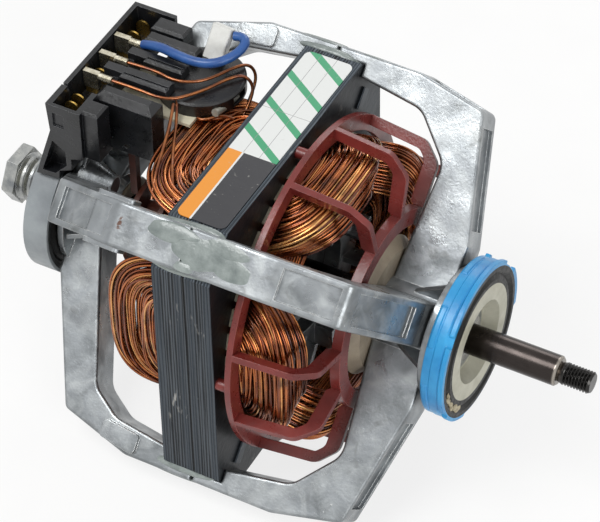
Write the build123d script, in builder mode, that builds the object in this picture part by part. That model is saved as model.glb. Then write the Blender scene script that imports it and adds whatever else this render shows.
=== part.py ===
from build123d import *
import math
import os

os.makedirs("parts", exist_ok=True)

# The X axis is the shaft's axis and points out of the threaded end.
# Z points up out of the label face. The origin is in the middle of the front mounting ring.
# Sizes are in millimetres. A "reach" is counted along the shaft, outward from a face of the stack.

# Laminated stack
stack_side = 142.5
stack_length = 26.0
corner_cut = 15.5
stator_bore = 76.6
slot_count = 36
tooth_tip_height = 2.7
slot_depth = 21.5
tooth_width = 3.4
slot_mouth = 2.2
liner_thickness = 0.25
liner_overhang = 3.0
stack_tab_width = 4.6
stack_tab_length = 9.5
stack_tab_lift = 1.2
stack_tab_setback = 3.2

# Windings
wire_dia = 3.6
coil_height = 49.5
coil_slot_angles = (15.0, 25.0, 35.0)
coil_front_reach = 27.2
coil_rear_reach = 32.2
coil_step = 6.5
bundle_floor = 44.2
winding_gap = 0.3
inner_winding_gap = 1.5
inner_winding_wall = 3.7
inner_winding_reach = 17.0
inner_winding_span = 62.0

# Shaft
journal_dia = 12.7
core_dia = 15.9
front_extension = 35.5
neck_dia = 7.9
neck_length = 2.4
thread_dia = 9.5
thread_length = 11.8
stub_dia = 9.5
shaft_chamfer = 0.8
groove_width = 1.3
groove_depth = 0.6
retaining_ring_dia = 19.0

# End frames
front_hub_length = 30.6
rear_hub_length = 19.9
collar_room = 8.0
front_shoulder_reach = 24.0
front_elbow_back = 17.0
front_elbow_drop = 6.7
front_tip_back = 4.8
front_tip_rise = 0.8
front_rail_length = 29.0
front_rail_drop = 4.6
front_arm_room = 4.2
front_inner_dia = 124.0
rear_shoulder_reach = 18.5
rear_elbow_back = 24.4
rear_elbow_drop = 9.3
rear_tip_back = 1.5
rear_tip_rise = -2.7
rear_rail_length = 27.0
rear_rail_drop = 3.6
rear_arm_room = 6.0
rear_inner_dia = 144.0
rear_root_back = 5.3
shoulder_round = 8.0
elbow_round = 3.5
tip_round = 2.0
inner_round = 10.0
arm_width = 18.0
foot_length = 12.4
foot_height = 4.5
rail_height = 5.2
rear_block_width = 21.4
rear_block_from = 14.0
rear_block_to = 31.3
rear_block_drop = 1.0
panel_depth = 1.8
panel_rim = 2.6
hub_dia = 32.0
flange_dia = 55.0
flange_thickness = 2.6
flange_gap = 1.5
nose_dia = 27.6
nose_wall = 2.0
casting_round = 1.2
hub_rib_thickness = 2.4
hub_rib_length = 16.0
ear_thickness = 1.6
ear_ahead = 12.4
peg_row = 13.0
peg_z = 27.0
peg_base_dia = 17.0
peg_tip_dia = 8.0
peg_length = 14.0

# Bearings and oil felts
bearing_dia = 22.0
bearing_length = 16.0
running_gap = 0.04
seat_gap = 0.03
end_play = 0.25
washer_thickness = 1.5
washer_dia = 19.6
felt_dia = 27.0
felt_bore = 20.6
felt_length = 6.0
cap_rim_dia = 60.0
cap_face_dia = 52.0
cap_depth = 5.0
cap_wall = 1.2

# Resilient mounts
front_ring_width = 10.3
rear_ring_width = 11.4
mount_dia = 67.4
band_thickness = 1.3
insert_dia = 50.0
insert_cup_dia = 36.0
insert_throat_dia = 30.4
cup_depth = 6.0
rubber_dish = 1.2

# Rotor
rotor_gap = 0.4
end_ring_step = 0.9
end_ring_bore = 46.0
end_ring_height = 7.0
blade_height = 8.0
blade_count = 10
blade_thickness = 2.4
blade_setback = 1.5

# Drive pulley
hex_flats = 22.2
hex_height = 6.0
pulley_reach = 18.7
pulley_dia = 21.0
pulley_groove_count = 5
pulley_groove_pitch = 3.6
pulley_groove_depth = 1.1
pulley_gap = 0.8

# Governor
weight_pivot_r = 24.0
weight_pivot_reach = 33.0
weight_width = 8.4
weight_length = 15.0
weight_floor_r = 22.0
weight_crown_r = 30.0
weight_boss_dia = 6.8
finger_length = 11.7
finger_thickness = 2.4
weight_pin_dia = 3.0
lug_gap = 3.0
lug_thickness = 1.6
base_plate_dia = 40.0
base_plate_thickness = 2.0
base_plate_offset = 10.0
base_hub_dia = 24.0
base_hub_length = 6.0
collar_gap = 0.06
collar_hub_dia = 20.0
collar_flange_dia = 28.4
collar_groove = 4.4
collar_disc_dia = 40.0
collar_rear_length = 14.0
collar_rim = 2.2

# Winding cage
cage_dia = 144.0
cage_room = 12.0
cage_ring_reach = 5.0
cage_ring_length = 2.6
cage_ring_wall = 7.0
cage_ring_bore = cage_dia - 2 * cage_ring_wall
cage_rib_count = 12
cage_rib_start = -15.0
cage_rib_width = 2.8
cage_rib_depth = 4.4
cage_face_depth = 6.0
cage_shoulder_step = 2.5
cage_shoulder_dia = cage_dia - 2 * cage_shoulder_step
cage_nose_bore = 72.0
cage_nose_dia = 86.0
cage_corner = 8.0
cage_outer_round = 6.0
cage_inner_round = 4.0
cage_rib_toe = 1.5
cage_foot_dia = 5.0

# Label
label_length = 108.0
label_width = 21.5
label_thickness = 0.3
label_corner = 3.0
label_shift = -1.0

# Switch housing, counted forward from its rear wall
switch_overhang = 2.3
switch_top = 69.5
switch_near = -22.0
switch_far = 49.5
switch_wall = 2.0
trough_forward = 16.0
trough_floor = 57.5
trough_bottom = 55.0
inner_wall_top = 65.5
inner_wall = 2.3
near_end_width = 14.0
mount_clearance = 1.2
rib_floor = 64.3
rib_end = 39.2
rib_drop = 0.5
rib_core = 4.0
rib_set_back = 8.0
rib_places = ((9.2, 7.0, 14.0), (13.2, 19.5, 26.0))
far_rib_rows = (31.2, 37.0)
far_block_rows = (38.6, 46.5)
far_block_end = 29.0
far_block_bottom = 62.0
near_block_rows = (-20.0, -11.0)
near_block_end = 23.0
near_block_bottom = 45.0
top_bevel = 1.0
tower_bevel = 3.0
groove_inset = 1.6
groove_size = 0.9
window_depth = 6.0
near_recess = 0.8
notch_row = -8.5
notch_width = 1.1
notch_bottom = 66.8
side_wall = 1.5
tower_near = -7.5
tower_far = 1.7
tower_ahead = 12.45
tower_bottom = 42.5
cavity_top = 53.5
cavity_behind = 2.05
cavity_ahead = 2.95

# Terminals in the trough
tab_width = 6.4
tab_thickness = 0.8
tab_top = 65.0
tab_forward = 6.2
tab_rows = (44.5, 37.0, 28.7, 16.5, 10.5, 3.9, -7.2, -12.2)
terminal_thickness = 2.4
terminal_height = 8.0
terminal_length = 7.0
terminal_gap = 0.1
terminal_rise = 4.0
barrel_dia = 3.0
barrel_length = 6.0
lead_row = 28.7
winding_rows = (16.5, 3.9)

# Centrifugal switch inside the housing
lever_row = -3.0
lever_thickness = 3.0
lever_width = 3.2
lever_side_gap = 1.0
lever_pivot_z = 46.0
lever_pin_dia = 2.5
lever_boss_dia = 5.2
lever_foot_z = 17.0
lever_arm = 9.5
lever_gap = 0.15
foot_bulge = 0.2
leaf_thickness = 0.5
leaf_bottom = 49.95
contact_dia = 4.6

# Thermal protector beside the switch
protector_dia = 37.0
protector_bottom = 57.6
protector_top = 64.0
protector_forward = 44.2
protector_row = 27.0
protector_bevel = 0.8
recess_ahead = 8.0
recess_rows = (-5.0, 3.5)
recess_walls = (1.2, 1.4)
strap_ahead = 7.0
strap_thickness = 1.4
strap_near = 4.5
strap_far = 30.0

# Leads and the connector of the blue lead
blue_lead_dia = 4.0
copper_lead_dia = 1.4
connector_width = 9.0
connector_thickness = 5.0
connector_length = 14.5
connector_lean = 32.0

# Places along the shaft that follow from the sizes above
cage_front_reach = coil_front_reach + wire_dia / 2 + cage_room
front_reach = cage_front_reach + front_hub_length
rear_hub_reach = weight_pivot_reach + collar_rear_length + collar_room
rear_reach = rear_hub_reach + rear_hub_length
ring_back = -front_ring_width / 2
ring_face = front_ring_width / 2
stack_front = ring_back - front_reach
stack_rear = stack_front - stack_length
stack_middle = (stack_front + stack_rear) / 2
rear_ring_back = stack_rear - rear_reach
rear_ring_face = rear_ring_back - rear_ring_width
front_nose = ring_face - cup_depth
rear_nose = rear_ring_face + cup_depth
front_bearing_inner = front_nose - nose_wall - bearing_length
rear_bearing_inner = rear_nose + nose_wall + bearing_length
front_hub_inner = stack_front + cage_front_reach
rear_hub_inner = stack_rear - rear_hub_reach
front_shoulder = front_bearing_inner - end_play - washer_thickness
rear_shoulder = rear_bearing_inner + end_play + washer_thickness
hex_face = rear_ring_face - pulley_reach
pulley_back = hex_face - hex_height
pulley_front = rear_nose - pulley_gap
pivot_x = stack_rear - weight_pivot_reach
collar_back = pivot_x - collar_rear_length
switch_back = rear_ring_back - switch_overhang
lever_x = collar_back - lever_width / 2 - lever_gap - foot_bulge
arm_tip = lever_x - lever_arm

# Radii that follow from the sizes above
corner_r = (stack_side - corner_cut) / math.sqrt(2)
foot_r = corner_r + foot_height
rail_r = corner_r - rail_height
mount_r = mount_dia / 2
journal_r = journal_dia / 2
core_r = core_dia / 2
stub_r = stub_dia / 2
thread_r = thread_dia / 2
bore_r = stator_bore / 2
inner_winding_r = bore_r + inner_winding_gap + inner_winding_wall
end_ring_r = bore_r - rotor_gap - end_ring_step
slot_start_r = bore_r + tooth_tip_height
slot_end_r = slot_start_r + slot_depth
hub_r = hub_dia / 2
nose_r = nose_dia / 2
bearing_r = bearing_dia / 2
insert_r = insert_dia / 2


def across(x):
    # The plane square to the shaft at x, with Y to the right and Z up.
    return Plane(origin=(x, 0, 0), x_dir=(0, 1, 0), z_dir=(1, 0, 0))


def along(angle, aside=0.0):
    # The plane that holds the shaft, turned from Z towards Y and moved aside. Its points are (x, r).
    turn = math.radians(angle)
    normal = Vector(0, -math.cos(turn), math.sin(turn))
    return Plane(origin=normal * aside, x_dir=(1, 0, 0), z_dir=normal)


def spun(corners):
    # An outline of (x, r) corners, spun about the shaft.
    with BuildPart() as made:
        with BuildSketch(along(0)):
            with BuildLine():
                Polyline(*corners, close=True)
            make_face()
        revolve(axis=Axis.X)
    return made.part


def ring(x_from, x_to, outer_r, inner_r=0.0):
    # A plain ring about the shaft, or a plain rod.
    return spun([(x_from, inner_r), (x_from, outer_r), (x_to, outer_r), (x_to, inner_r)])


def block(x_from, x_to, y_from, y_to, z_from, z_to):
    # A straight-sided block between two corners.
    with BuildPart() as made:
        with BuildSketch(Plane.XY.offset(z_from)):
            with Locations(((x_from + x_to) / 2, (y_from + y_to) / 2)):
                Rectangle(x_to - x_from, y_to - y_from)
        extrude(amount=z_to - z_from)
    return made.part


def bevelled(x_from, x_to, y_from, y_to, z_from, z_to, bevel):
    # A block whose top edges are bevelled.
    with BuildPart() as made:
        add(block(x_from, x_to, y_from, y_to, z_from, z_to))
        chamfer(made.faces().sort_by(Axis.Z)[-1].edges(), bevel)
    return made.part


def sheet(corners, y_from, y_to, radii=0):
    # An outline of (x, z) corners, as thick as the distance between two rows.
    with BuildPart() as made:
        with BuildSketch(along(0, -y_from)):
            with BuildLine():
                FilletPolyline(*corners, radius=radii, close=True)
            make_face()
        extrude(amount=y_from - y_to)
    return made.part


def keep(piece, name):
    # Labels a finished piece and writes it to its file.
    piece.part.label = name
    export_step(piece.part, f"parts/{name}.step")


def route_radii(points):
    # The radius at each corner is 0.45 of the shorter run over the tangent of half the turn.
    radii = []
    for before, here, after in zip(points, points[1:], points[2:]):
        run_in = Vector(*here) - Vector(*before)
        run_out = Vector(*after) - Vector(*here)
        half_turn = math.radians(run_in.get_angle(run_out)) / 2
        radii.append(0.45 * min(run_in.length, run_out.length) / math.tan(half_turn))
    return radii


def path_of(points, radii):
    # Straight runs joined by tangent arcs.
    with BuildLine() as route:
        FilletPolyline(*points, radius=radii)
    return route.wire()


def tube(path, dia, sides):
    # A tube of a number of flat sides along a path.
    with BuildPart() as made:
        with BuildSketch(Plane(origin=path @ 0, z_dir=path % 0)):
            RegularPolygon(dia / 2, sides)
        sweep(path=path)
    return made.part


def lead(name, points, dia):
    # A lead on its route. Its radii are printed.
    radii = route_radii(points)
    print(name, "wire", dia, "radii", [round(radius, 1) for radius in radii])
    return tube(path_of(points, radii), dia, sides=8)


def slot_width(r):
    # Parallel teeth leave this much of the circle of radius r.
    return 2 * r * math.sin(math.radians(slot_pitch / 2)) - tooth_width


def slot_face(r_from, r_to, inset=0.0):
    # A tapered slot between two radii, narrowed by an inset on each side.
    near = slot_width(r_from) / 2 - inset
    far = slot_width(r_to) / 2 - inset
    with BuildSketch() as made:
        with BuildLine():
            Polyline((r_from, -near), (r_to, -far), (r_to, far), (r_from, near), close=True)
        make_face()
    return made.sketch


slot_pitch = 360 / slot_count

# Stator core: one stack of laminations with parallel teeth
with BuildPart() as stator_core:
    with BuildSketch(across(stack_rear)) as lamination:
        Rectangle(stack_side, stack_side)
        chamfer(lamination.vertices(), corner_cut)
        Circle(bore_r, mode=Mode.SUBTRACT)
        with PolarLocations(0, slot_count, start_angle=slot_pitch / 2):
            add(slot_face(slot_start_r, slot_end_r), mode=Mode.SUBTRACT)
        with PolarLocations((bore_r + slot_start_r) / 2, slot_count, start_angle=slot_pitch / 2):
            Rectangle(slot_start_r - bore_r + 1, slot_mouth, mode=Mode.SUBTRACT)
    extrude(amount=stack_length)
    with BuildSketch(across(stack_front)):
        with PolarLocations(rail_r - stack_tab_setback - stack_tab_length / 2, 4, start_angle=45):
            Rectangle(stack_tab_length, stack_tab_width)
    extrude(amount=stack_tab_lift)
keep(stator_core, "stator_core")

# Slot liners: a folded film in every slot, longer than the stack
with BuildPart() as slot_liners:
    with BuildSketch(across(stack_rear - liner_overhang)):
        with PolarLocations(0, slot_count, start_angle=slot_pitch / 2):
            add(slot_face(slot_start_r, slot_end_r))
            add(slot_face(slot_start_r, slot_end_r - liner_thickness, liner_thickness), mode=Mode.SUBTRACT)
    extrude(amount=stack_length + 2 * liner_overhang)
keep(slot_liners, "slot_liners")


# Run winding: four plain bundles, and over each one unbroken wire laid flat in loops
def half_span(angle):
    # Half the width of a loop whose sides lie in the slots at this angle from the pole's middle.
    return coil_height * math.tan(math.radians(angle))


def coil_points():
    # The wire goes forward through one slot and back through its mirror image, loop after loop.
    points = [(stack_rear - coil_rear_reach / 4, -half_span(coil_slot_angles[0]))]
    radii = []
    last = len(coil_slot_angles) - 1
    for index, angle in enumerate(coil_slot_angles):
        side = half_span(angle)
        front = coil_front_reach - coil_step * (last - index)
        rear = coil_rear_reach - coil_step * (last - index)
        points += [(stack_front + front, -side), (stack_front + front, side)]
        radii += [min(side, front) - 1] * 2
        next_side = half_span(coil_slot_angles[index + 1]) if index < last else side / 3
        points += [(stack_rear - rear, side), (stack_rear - rear, -next_side)]
        radii += [min((side + next_side) / 2, rear) - 1] * (2 if index < last else 1)
    return [(x, y, coil_height) for x, y in points], radii


def least_gap(path, dia, samples=900):
    # The least distance between stretches of the wire that lie more than three diameters apart along it.
    spots = [path @ (index / samples) for index in range(samples + 1)]
    step = path.length / samples
    apart = int(3 * dia / step) + 1
    return min(
        (spots[i] - spots[j]).length for i in range(0, samples, 3) for j in range(i + apart, samples + 1)
    ) - dia


def bundle_arch(out, face, reach):
    # One end turn of a bundle: an arch over a face of the stack, seen from above.
    outer = half_span(coil_slot_angles[-1]) + wire_dia / 2
    inner = half_span(coil_slot_angles[0]) - wire_dia / 2
    start = face + out * (liner_overhang + winding_gap)
    end = face + out * (reach + wire_dia / 2)
    inner_end = start + out * inner / 2
    with BuildPart() as made:
        with BuildSketch(Plane.XY.offset(bundle_floor)):
            with BuildLine():
                FilletPolyline(
                    (start, -outer), (end, -outer), (end, outer), (start, outer), (start, inner),
                    (inner_end, inner), (inner_end, -inner), (start, -inner),
                    radius=[0, reach / 1.3, reach / 1.3, 0, 0, inner / 3, inner / 3, 0], close=True,
                )
            make_face()
        extrude(amount=coil_height - wire_dia / 2 - winding_gap - bundle_floor)
    return made.part


def bundle_leg(angle):
    # The part of a bundle that fills a slot below the wire.
    top = coil_height / math.cos(math.radians(angle)) - wire_dia / 2 - winding_gap
    base = inner_winding_r + 2 * winding_gap + inner_winding_wall / 3
    with BuildPart() as made:
        with BuildSketch(across(stack_rear - liner_overhang - 2 * winding_gap)):
            with PolarLocations(0, 1, start_angle=90 - angle):
                add(slot_face(base, top, liner_thickness + winding_gap))
        extrude(amount=stack_length + 2 * liner_overhang + 4 * winding_gap)
    return made.part


coil_route, coil_radii = coil_points()
coil_path = path_of(coil_route, coil_radii)
print("run coil least gap", round(least_gap(coil_path, wire_dia), 2))
coil_wire = tube(coil_path, wire_dia, sides=6)
with BuildPart() as coil_bundle:
    add(bundle_arch(1, stack_front, coil_front_reach))
    add(bundle_arch(-1, stack_rear, coil_rear_reach))
    for slot_angle in coil_slot_angles:
        add(bundle_leg(slot_angle))
        add(bundle_leg(-slot_angle))
for turn, side_name in ((0, "top"), (90, "near"), (180, "bottom"), (270, "far")):
    with BuildPart() as run_coil:
        add(coil_bundle.part.rotate(Axis.X, turn))
    keep(run_coil, f"run_coil_{side_name}")
    with BuildPart() as run_wire:
        add(coil_wire.rotate(Axis.X, turn))
    keep(run_wire, f"run_wire_{side_name}")

# Start winding: four plain coils nearer the bore, between the run coils
arch_start = liner_overhang + winding_gap
with BuildPart() as start_winding:
    for pole in range(4):
        middle = 45 + 90 * pole
        for face, out in ((stack_front, 1), (stack_rear, -1)):
            with BuildSketch(along(middle - inner_winding_span / 2)):
                with BuildLine():
                    Polyline(
                        (face + out * arch_start, inner_winding_r - inner_winding_wall),
                        (face + out * inner_winding_reach, inner_winding_r - inner_winding_wall),
                        (face + out * inner_winding_reach, inner_winding_r),
                        (face + out * arch_start, inner_winding_r), close=True,
                    )
                make_face()
            revolve(axis=Axis.X, revolution_arc=-inner_winding_span)
        for offset in (10, 20, 30):
            for side in (-1, 1):
                with BuildSketch(across(stack_rear - arch_start - winding_gap)):
                    with PolarLocations(0, 1, start_angle=90 - middle + side * offset):
                        add(slot_face(slot_start_r + liner_thickness + winding_gap,
                                      inner_winding_r + inner_winding_wall / 3,
                                      liner_thickness + winding_gap))
                extrude(amount=stack_length + 2 * arch_start + 2 * winding_gap)
keep(start_winding, "start_winding")


# End frames: four cast arms each, one cast with the hub
def line_at(start, end, share):
    # The point this share of the way along a straight edge.
    return (start[0] + share * (end[0] - start[0]), start[1] + share * (end[1] - start[1]))


def cast_arm(face, out, shoulder, elbow, tip, rail_end, inner_elbow, root):
    # One arm in the plane of the shaft. Its corners are (reach, radius) pairs.
    def place(corner):
        return (face + out * corner[0], corner[1])

    core = nose_dia / 2 - nose_wall
    outline = [
        (-foot_length, corner_r), (-foot_length, foot_r), (shoulder, foot_r), elbow, tip,
        (tip[0], core), (root, core), inner_elbow, rail_end, (0, rail_r), (0, corner_r),
    ]
    rounds = [0, 0, shoulder_round, elbow_round, tip_round, 0, 0, inner_round, inner_round, 0, 0]
    with BuildPart() as arm:
        with BuildSketch(along(0)):
            with BuildLine():
                FilletPolyline(*[place(corner) for corner in outline], radius=rounds, close=True)
            make_face()
        extrude(amount=arm_width / 2, both=True)
        flanks = arm.faces().filter_by(Axis.Y)
        fillet(flanks.edges(), casting_round)
        for start, end in (((shoulder, foot_r), elbow), (elbow, tip)):
            near_end = line_at(start, end, 0.12)
            far_end = line_at(start, end, 0.88)
            run = Vector(end[0] - start[0], end[1] - start[1])
            inward = Vector(run.Y, -run.X).normalized()
            corners = [
                (near_end[0] - inward.X, near_end[1] - inward.Y),
                (far_end[0] - inward.X, far_end[1] - inward.Y),
                (far_end[0] + panel_depth * inward.X, far_end[1] + panel_depth * inward.Y),
                (near_end[0] + panel_depth * inward.X, near_end[1] + panel_depth * inward.Y),
            ]
            with BuildSketch(along(0)):
                with BuildLine():
                    Polyline(*[place(corner) for corner in corners], close=True)
                make_face()
            extrude(amount=arm_width / 2 - panel_rim, both=True, mode=Mode.SUBTRACT)
    return arm.part


front_arm = cast_arm(
    stack_front, 1, shoulder=front_shoulder_reach,
    elbow=(front_reach - front_elbow_back, foot_r - front_elbow_drop),
    tip=(front_reach - front_tip_back, mount_r + front_tip_rise),
    rail_end=(front_rail_length, rail_r - front_rail_drop),
    inner_elbow=(cage_front_reach + front_arm_room, front_inner_dia / 2), root=cage_front_reach,
)
rear_arm = cast_arm(
    stack_rear, -1, shoulder=rear_shoulder_reach,
    elbow=(rear_reach - rear_elbow_back, foot_r - rear_elbow_drop),
    tip=(rear_reach - rear_tip_back, mount_r + rear_tip_rise),
    rail_end=(rear_rail_length, rail_r - rear_rail_drop),
    inner_elbow=(coil_rear_reach + wire_dia / 2 + rear_arm_room, rear_inner_dia / 2),
    root=rear_hub_reach + rear_root_back,
)


def hub_outline(out, inner, ring_edge, nose):
    # The hub's outside, from its inner end to its nose: tube, flange and nose.
    flange_outer = ring_edge - out * flange_gap
    flange_inner = flange_outer - out * flange_thickness
    return [
        (inner, 0), (inner, hub_r), (flange_inner, hub_r), (flange_inner, flange_dia / 2),
        (flange_outer, flange_dia / 2), (flange_outer, hub_r + 2), (ring_edge, hub_r + 2),
        (ring_edge, nose_r), (nose, nose_r), (nose, 0),
    ]


def hub_hollow(inner, bearing_inner, out, nose):
    # The hub's inside: the felt's chamber, the bearing's seat and the shaft's hole.
    felt_end = bearing_inner - out * felt_length
    return [
        (inner - out, 0), (inner - out, bearing_r + 1), (felt_end, felt_dia / 2 + seat_gap),
        (bearing_inner, felt_dia / 2 + seat_gap), (bearing_inner, bearing_r + seat_gap),
        (nose - out * nose_wall, bearing_r + seat_gap), (nose - out * nose_wall, journal_r + 0.6),
        (nose + out, journal_r + 0.6), (nose + out, 0),
    ]


def hub_rib(angle, out, ring_edge):
    # A thin rib from the hub's tube to the flange, between two arms.
    base = ring_edge - out * (flange_gap + flange_thickness / 2)
    with BuildPart() as made:
        with BuildSketch(along(angle)):
            with BuildLine():
                Polyline(
                    (base, hub_r - 1), (base - out * hub_rib_length, hub_r - 1),
                    (base - out * hub_rib_length, hub_r), (base, flange_dia / 2 - 2), close=True,
                )
            make_face()
        extrude(amount=hub_rib_thickness / 2, both=True)
    return made.part


with BuildPart() as front_end_frame:
    for turn in (45, 135, 225, 315):
        add(front_arm.rotate(Axis.X, turn))
        add(hub_rib(turn + 45, 1, ring_back))
    add(spun(hub_outline(1, front_hub_inner, ring_back, front_nose)))
    add(spun(hub_hollow(front_hub_inner, front_bearing_inner, 1, front_nose)), mode=Mode.SUBTRACT)
keep(front_end_frame, "front_end_frame")

ear_x = switch_back + ear_ahead


def ear(side):
    # The cast ear that carries the switch housing beside a top arm, with its conical peg.
    with BuildPart() as made:
        with BuildSketch(across(ear_x - ear_thickness)):
            with BuildLine():
                FilletPolyline(
                    (side * 21, 28), (side * 9, 43), (side * 5, 41), (side * 2.5, 30), (side * 9, 20),
                    radius=[3, 2, 2, 4, 3], close=True,
                )
            make_face()
        extrude(amount=ear_thickness)
        peg_plane = Plane(origin=(ear_x - ear_thickness, side * peg_row, peg_z), x_dir=(0, 1, 0), z_dir=(1, 0, 0))
        with BuildSketch(peg_plane):
            Circle(peg_base_dia / 2)
        with BuildSketch(peg_plane.offset(peg_length)):
            Circle(peg_tip_dia / 2)
        loft()
    return made.part


with BuildPart() as rear_arm_block:
    add(sheet(
        [
            (stack_rear - rear_block_from, rail_r), (stack_rear - rear_block_from, foot_r - rear_block_drop),
            (stack_rear - rear_block_to, foot_r - rear_block_drop - 3), (stack_rear - rear_block_to, rail_r - 2),
        ],
        -rear_block_width / 2, rear_block_width / 2, radii=[2, 2, 2, 2],
    ))

with BuildPart() as rear_end_frame:
    for turn in (45, 135, 225, 315):
        add(rear_arm.rotate(Axis.X, turn))
        add(rear_arm_block.part.rotate(Axis.X, turn))
        add(hub_rib(turn + 45, -1, rear_ring_back))
    for side in (-1, 1):
        add(ear(side))
    add(spun(hub_outline(-1, rear_hub_inner, rear_ring_back, rear_nose)))
    add(spun(hub_hollow(rear_hub_inner, rear_bearing_inner, -1, rear_nose)), mode=Mode.SUBTRACT)
keep(rear_end_frame, "rear_end_frame")

# Corner bonds: the hard glue around the feet on each cut corner of the stack
corner_width = corner_cut * math.sqrt(2)
bond_thickness = foot_height / 3
foot_space = stack_length - 2 * foot_length
with BuildPart() as corner_bonds:
    for turn in (45, 135, 225, 315):
        middle_plane = Plane(origin=(stack_middle, 0, 0), x_dir=(1, 0, 0), z_dir=along(turn - 90).z_dir)
        with BuildSketch(middle_plane.offset(corner_r)):
            Rectangle(stack_length, corner_width - 0.4)
            with Locations((foot_length / 2 + foot_space / 2, 0), (-foot_length / 2 - foot_space / 2, 0)):
                Rectangle(foot_length + 0.1, arm_width + 0.1, mode=Mode.SUBTRACT)
        extrude(amount=bond_thickness)
keep(corner_bonds, "corner_bonds")

# Bearings, felts and bearing caps
with BuildPart() as front_bearing:
    add(ring(front_bearing_inner, front_bearing_inner + bearing_length, bearing_r, journal_r + running_gap))
keep(front_bearing, "front_bearing")

with BuildPart() as rear_bearing:
    add(ring(rear_bearing_inner - bearing_length, rear_bearing_inner, bearing_r, journal_r + running_gap))
keep(rear_bearing, "rear_bearing")

with BuildPart() as front_felt:
    add(ring(front_bearing_inner - felt_length, front_bearing_inner - seat_gap, felt_dia / 2, felt_bore / 2))
keep(front_felt, "front_felt")

with BuildPart() as rear_felt:
    add(ring(rear_bearing_inner + seat_gap, rear_bearing_inner + felt_length, felt_dia / 2, felt_bore / 2))
keep(rear_felt, "rear_felt")

with BuildPart() as front_bearing_cap:
    add(spun([
        (front_hub_inner, core_r + 1), (front_hub_inner, cap_face_dia / 2),
        (front_hub_inner - cap_depth, cap_rim_dia / 2),
        (front_hub_inner - cap_depth, cap_rim_dia / 2 - cap_wall),
        (front_hub_inner - cap_wall, cap_face_dia / 2 - cap_wall), (front_hub_inner - cap_wall, core_r + 1),
    ]))
keep(front_bearing_cap, "front_bearing_cap")

with BuildPart() as rear_bearing_cap:
    add(ring(rear_hub_inner, rear_hub_inner + cap_wall, hub_r - 0.5, core_r + 1))
keep(rear_bearing_cap, "rear_bearing_cap")


# Resilient mounts: a hard insert on the hub's nose, a rubber ring and an outer band
def mount_insert(back, face, nose):
    return spun([
        (back, nose_r + seat_gap), (nose, nose_r + seat_gap), (nose, insert_throat_dia / 2),
        (face, insert_cup_dia / 2), (face, insert_r), (back, insert_r),
    ])


def mount_rubber(back, face):
    dish = math.copysign(rubber_dish, face - back)
    outer = mount_r - band_thickness - seat_gap
    inner = insert_r + seat_gap
    lip = (outer - inner) / 4
    return spun([
        (back, inner), (back, inner + lip), (back + dish, inner + 2 * lip), (back, outer - lip), (back, outer),
        (face, outer), (face, outer - lip), (face - dish, inner + 2 * lip), (face, inner + lip), (face, inner),
    ])


def mount_band(back, face):
    return ring(back, face, mount_r, mount_r - band_thickness)


with BuildPart() as front_mount_insert:
    add(mount_insert(ring_back, ring_face, front_nose))
keep(front_mount_insert, "front_mount_insert")

with BuildPart() as front_mount_rubber:
    add(mount_rubber(ring_back, ring_face))
keep(front_mount_rubber, "front_mount_rubber")

with BuildPart() as front_mount_band:
    add(mount_band(ring_back, ring_face))
keep(front_mount_band, "front_mount_band")

with BuildPart() as rear_mount_insert:
    add(mount_insert(rear_ring_back, rear_ring_face, rear_nose))
keep(rear_mount_insert, "rear_mount_insert")

with BuildPart() as rear_mount_rubber:
    add(mount_rubber(rear_ring_back, rear_ring_face))
keep(rear_mount_rubber, "rear_mount_rubber")

with BuildPart() as rear_mount_band:
    add(mount_band(rear_ring_back, rear_ring_face))
keep(rear_mount_band, "rear_mount_band")

# Shaft: a thick middle, two journals, a stub for the pulley and a threaded tip
shoulder_x = ring_face + front_extension
neck_end = shoulder_x + neck_length
tip_x = neck_end + thread_length
stub_end = pulley_back + shaft_chamfer
groove_x = front_nose + running_gap * 10
with BuildPart() as shaft:
    add(spun([
        (stub_end, 0), (stub_end, stub_r - shaft_chamfer), (stub_end + shaft_chamfer, stub_r),
        (pulley_front, stub_r), (pulley_front, journal_r), (rear_shoulder, journal_r),
        (rear_shoulder, core_r), (front_shoulder, core_r), (front_shoulder, journal_r),
        (groove_x, journal_r), (groove_x, journal_r - groove_depth),
        (groove_x + groove_width, journal_r - groove_depth), (groove_x + groove_width, journal_r),
        (shoulder_x - shaft_chamfer, journal_r), (shoulder_x, journal_r - shaft_chamfer),
        (shoulder_x, neck_dia / 2), (neck_end, neck_dia / 2), (neck_end, thread_r),
        (tip_x - shaft_chamfer, thread_r), (tip_x, thread_r - shaft_chamfer), (tip_x, 0),
    ]))
keep(shaft, "shaft")

with BuildPart() as retaining_ring:
    add(ring(groove_x + end_play, groove_x + groove_width - end_play / 4,
             retaining_ring_dia / 2, journal_r - groove_depth + seat_gap))
keep(retaining_ring, "retaining_ring")

with BuildPart() as thrust_washers:
    add(ring(front_shoulder + seat_gap, front_shoulder + washer_thickness, washer_dia / 2, journal_r + seat_gap))
    add(ring(rear_shoulder - washer_thickness, rear_shoulder - seat_gap, washer_dia / 2, journal_r + seat_gap))
keep(thrust_washers, "thrust_washers")

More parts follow.
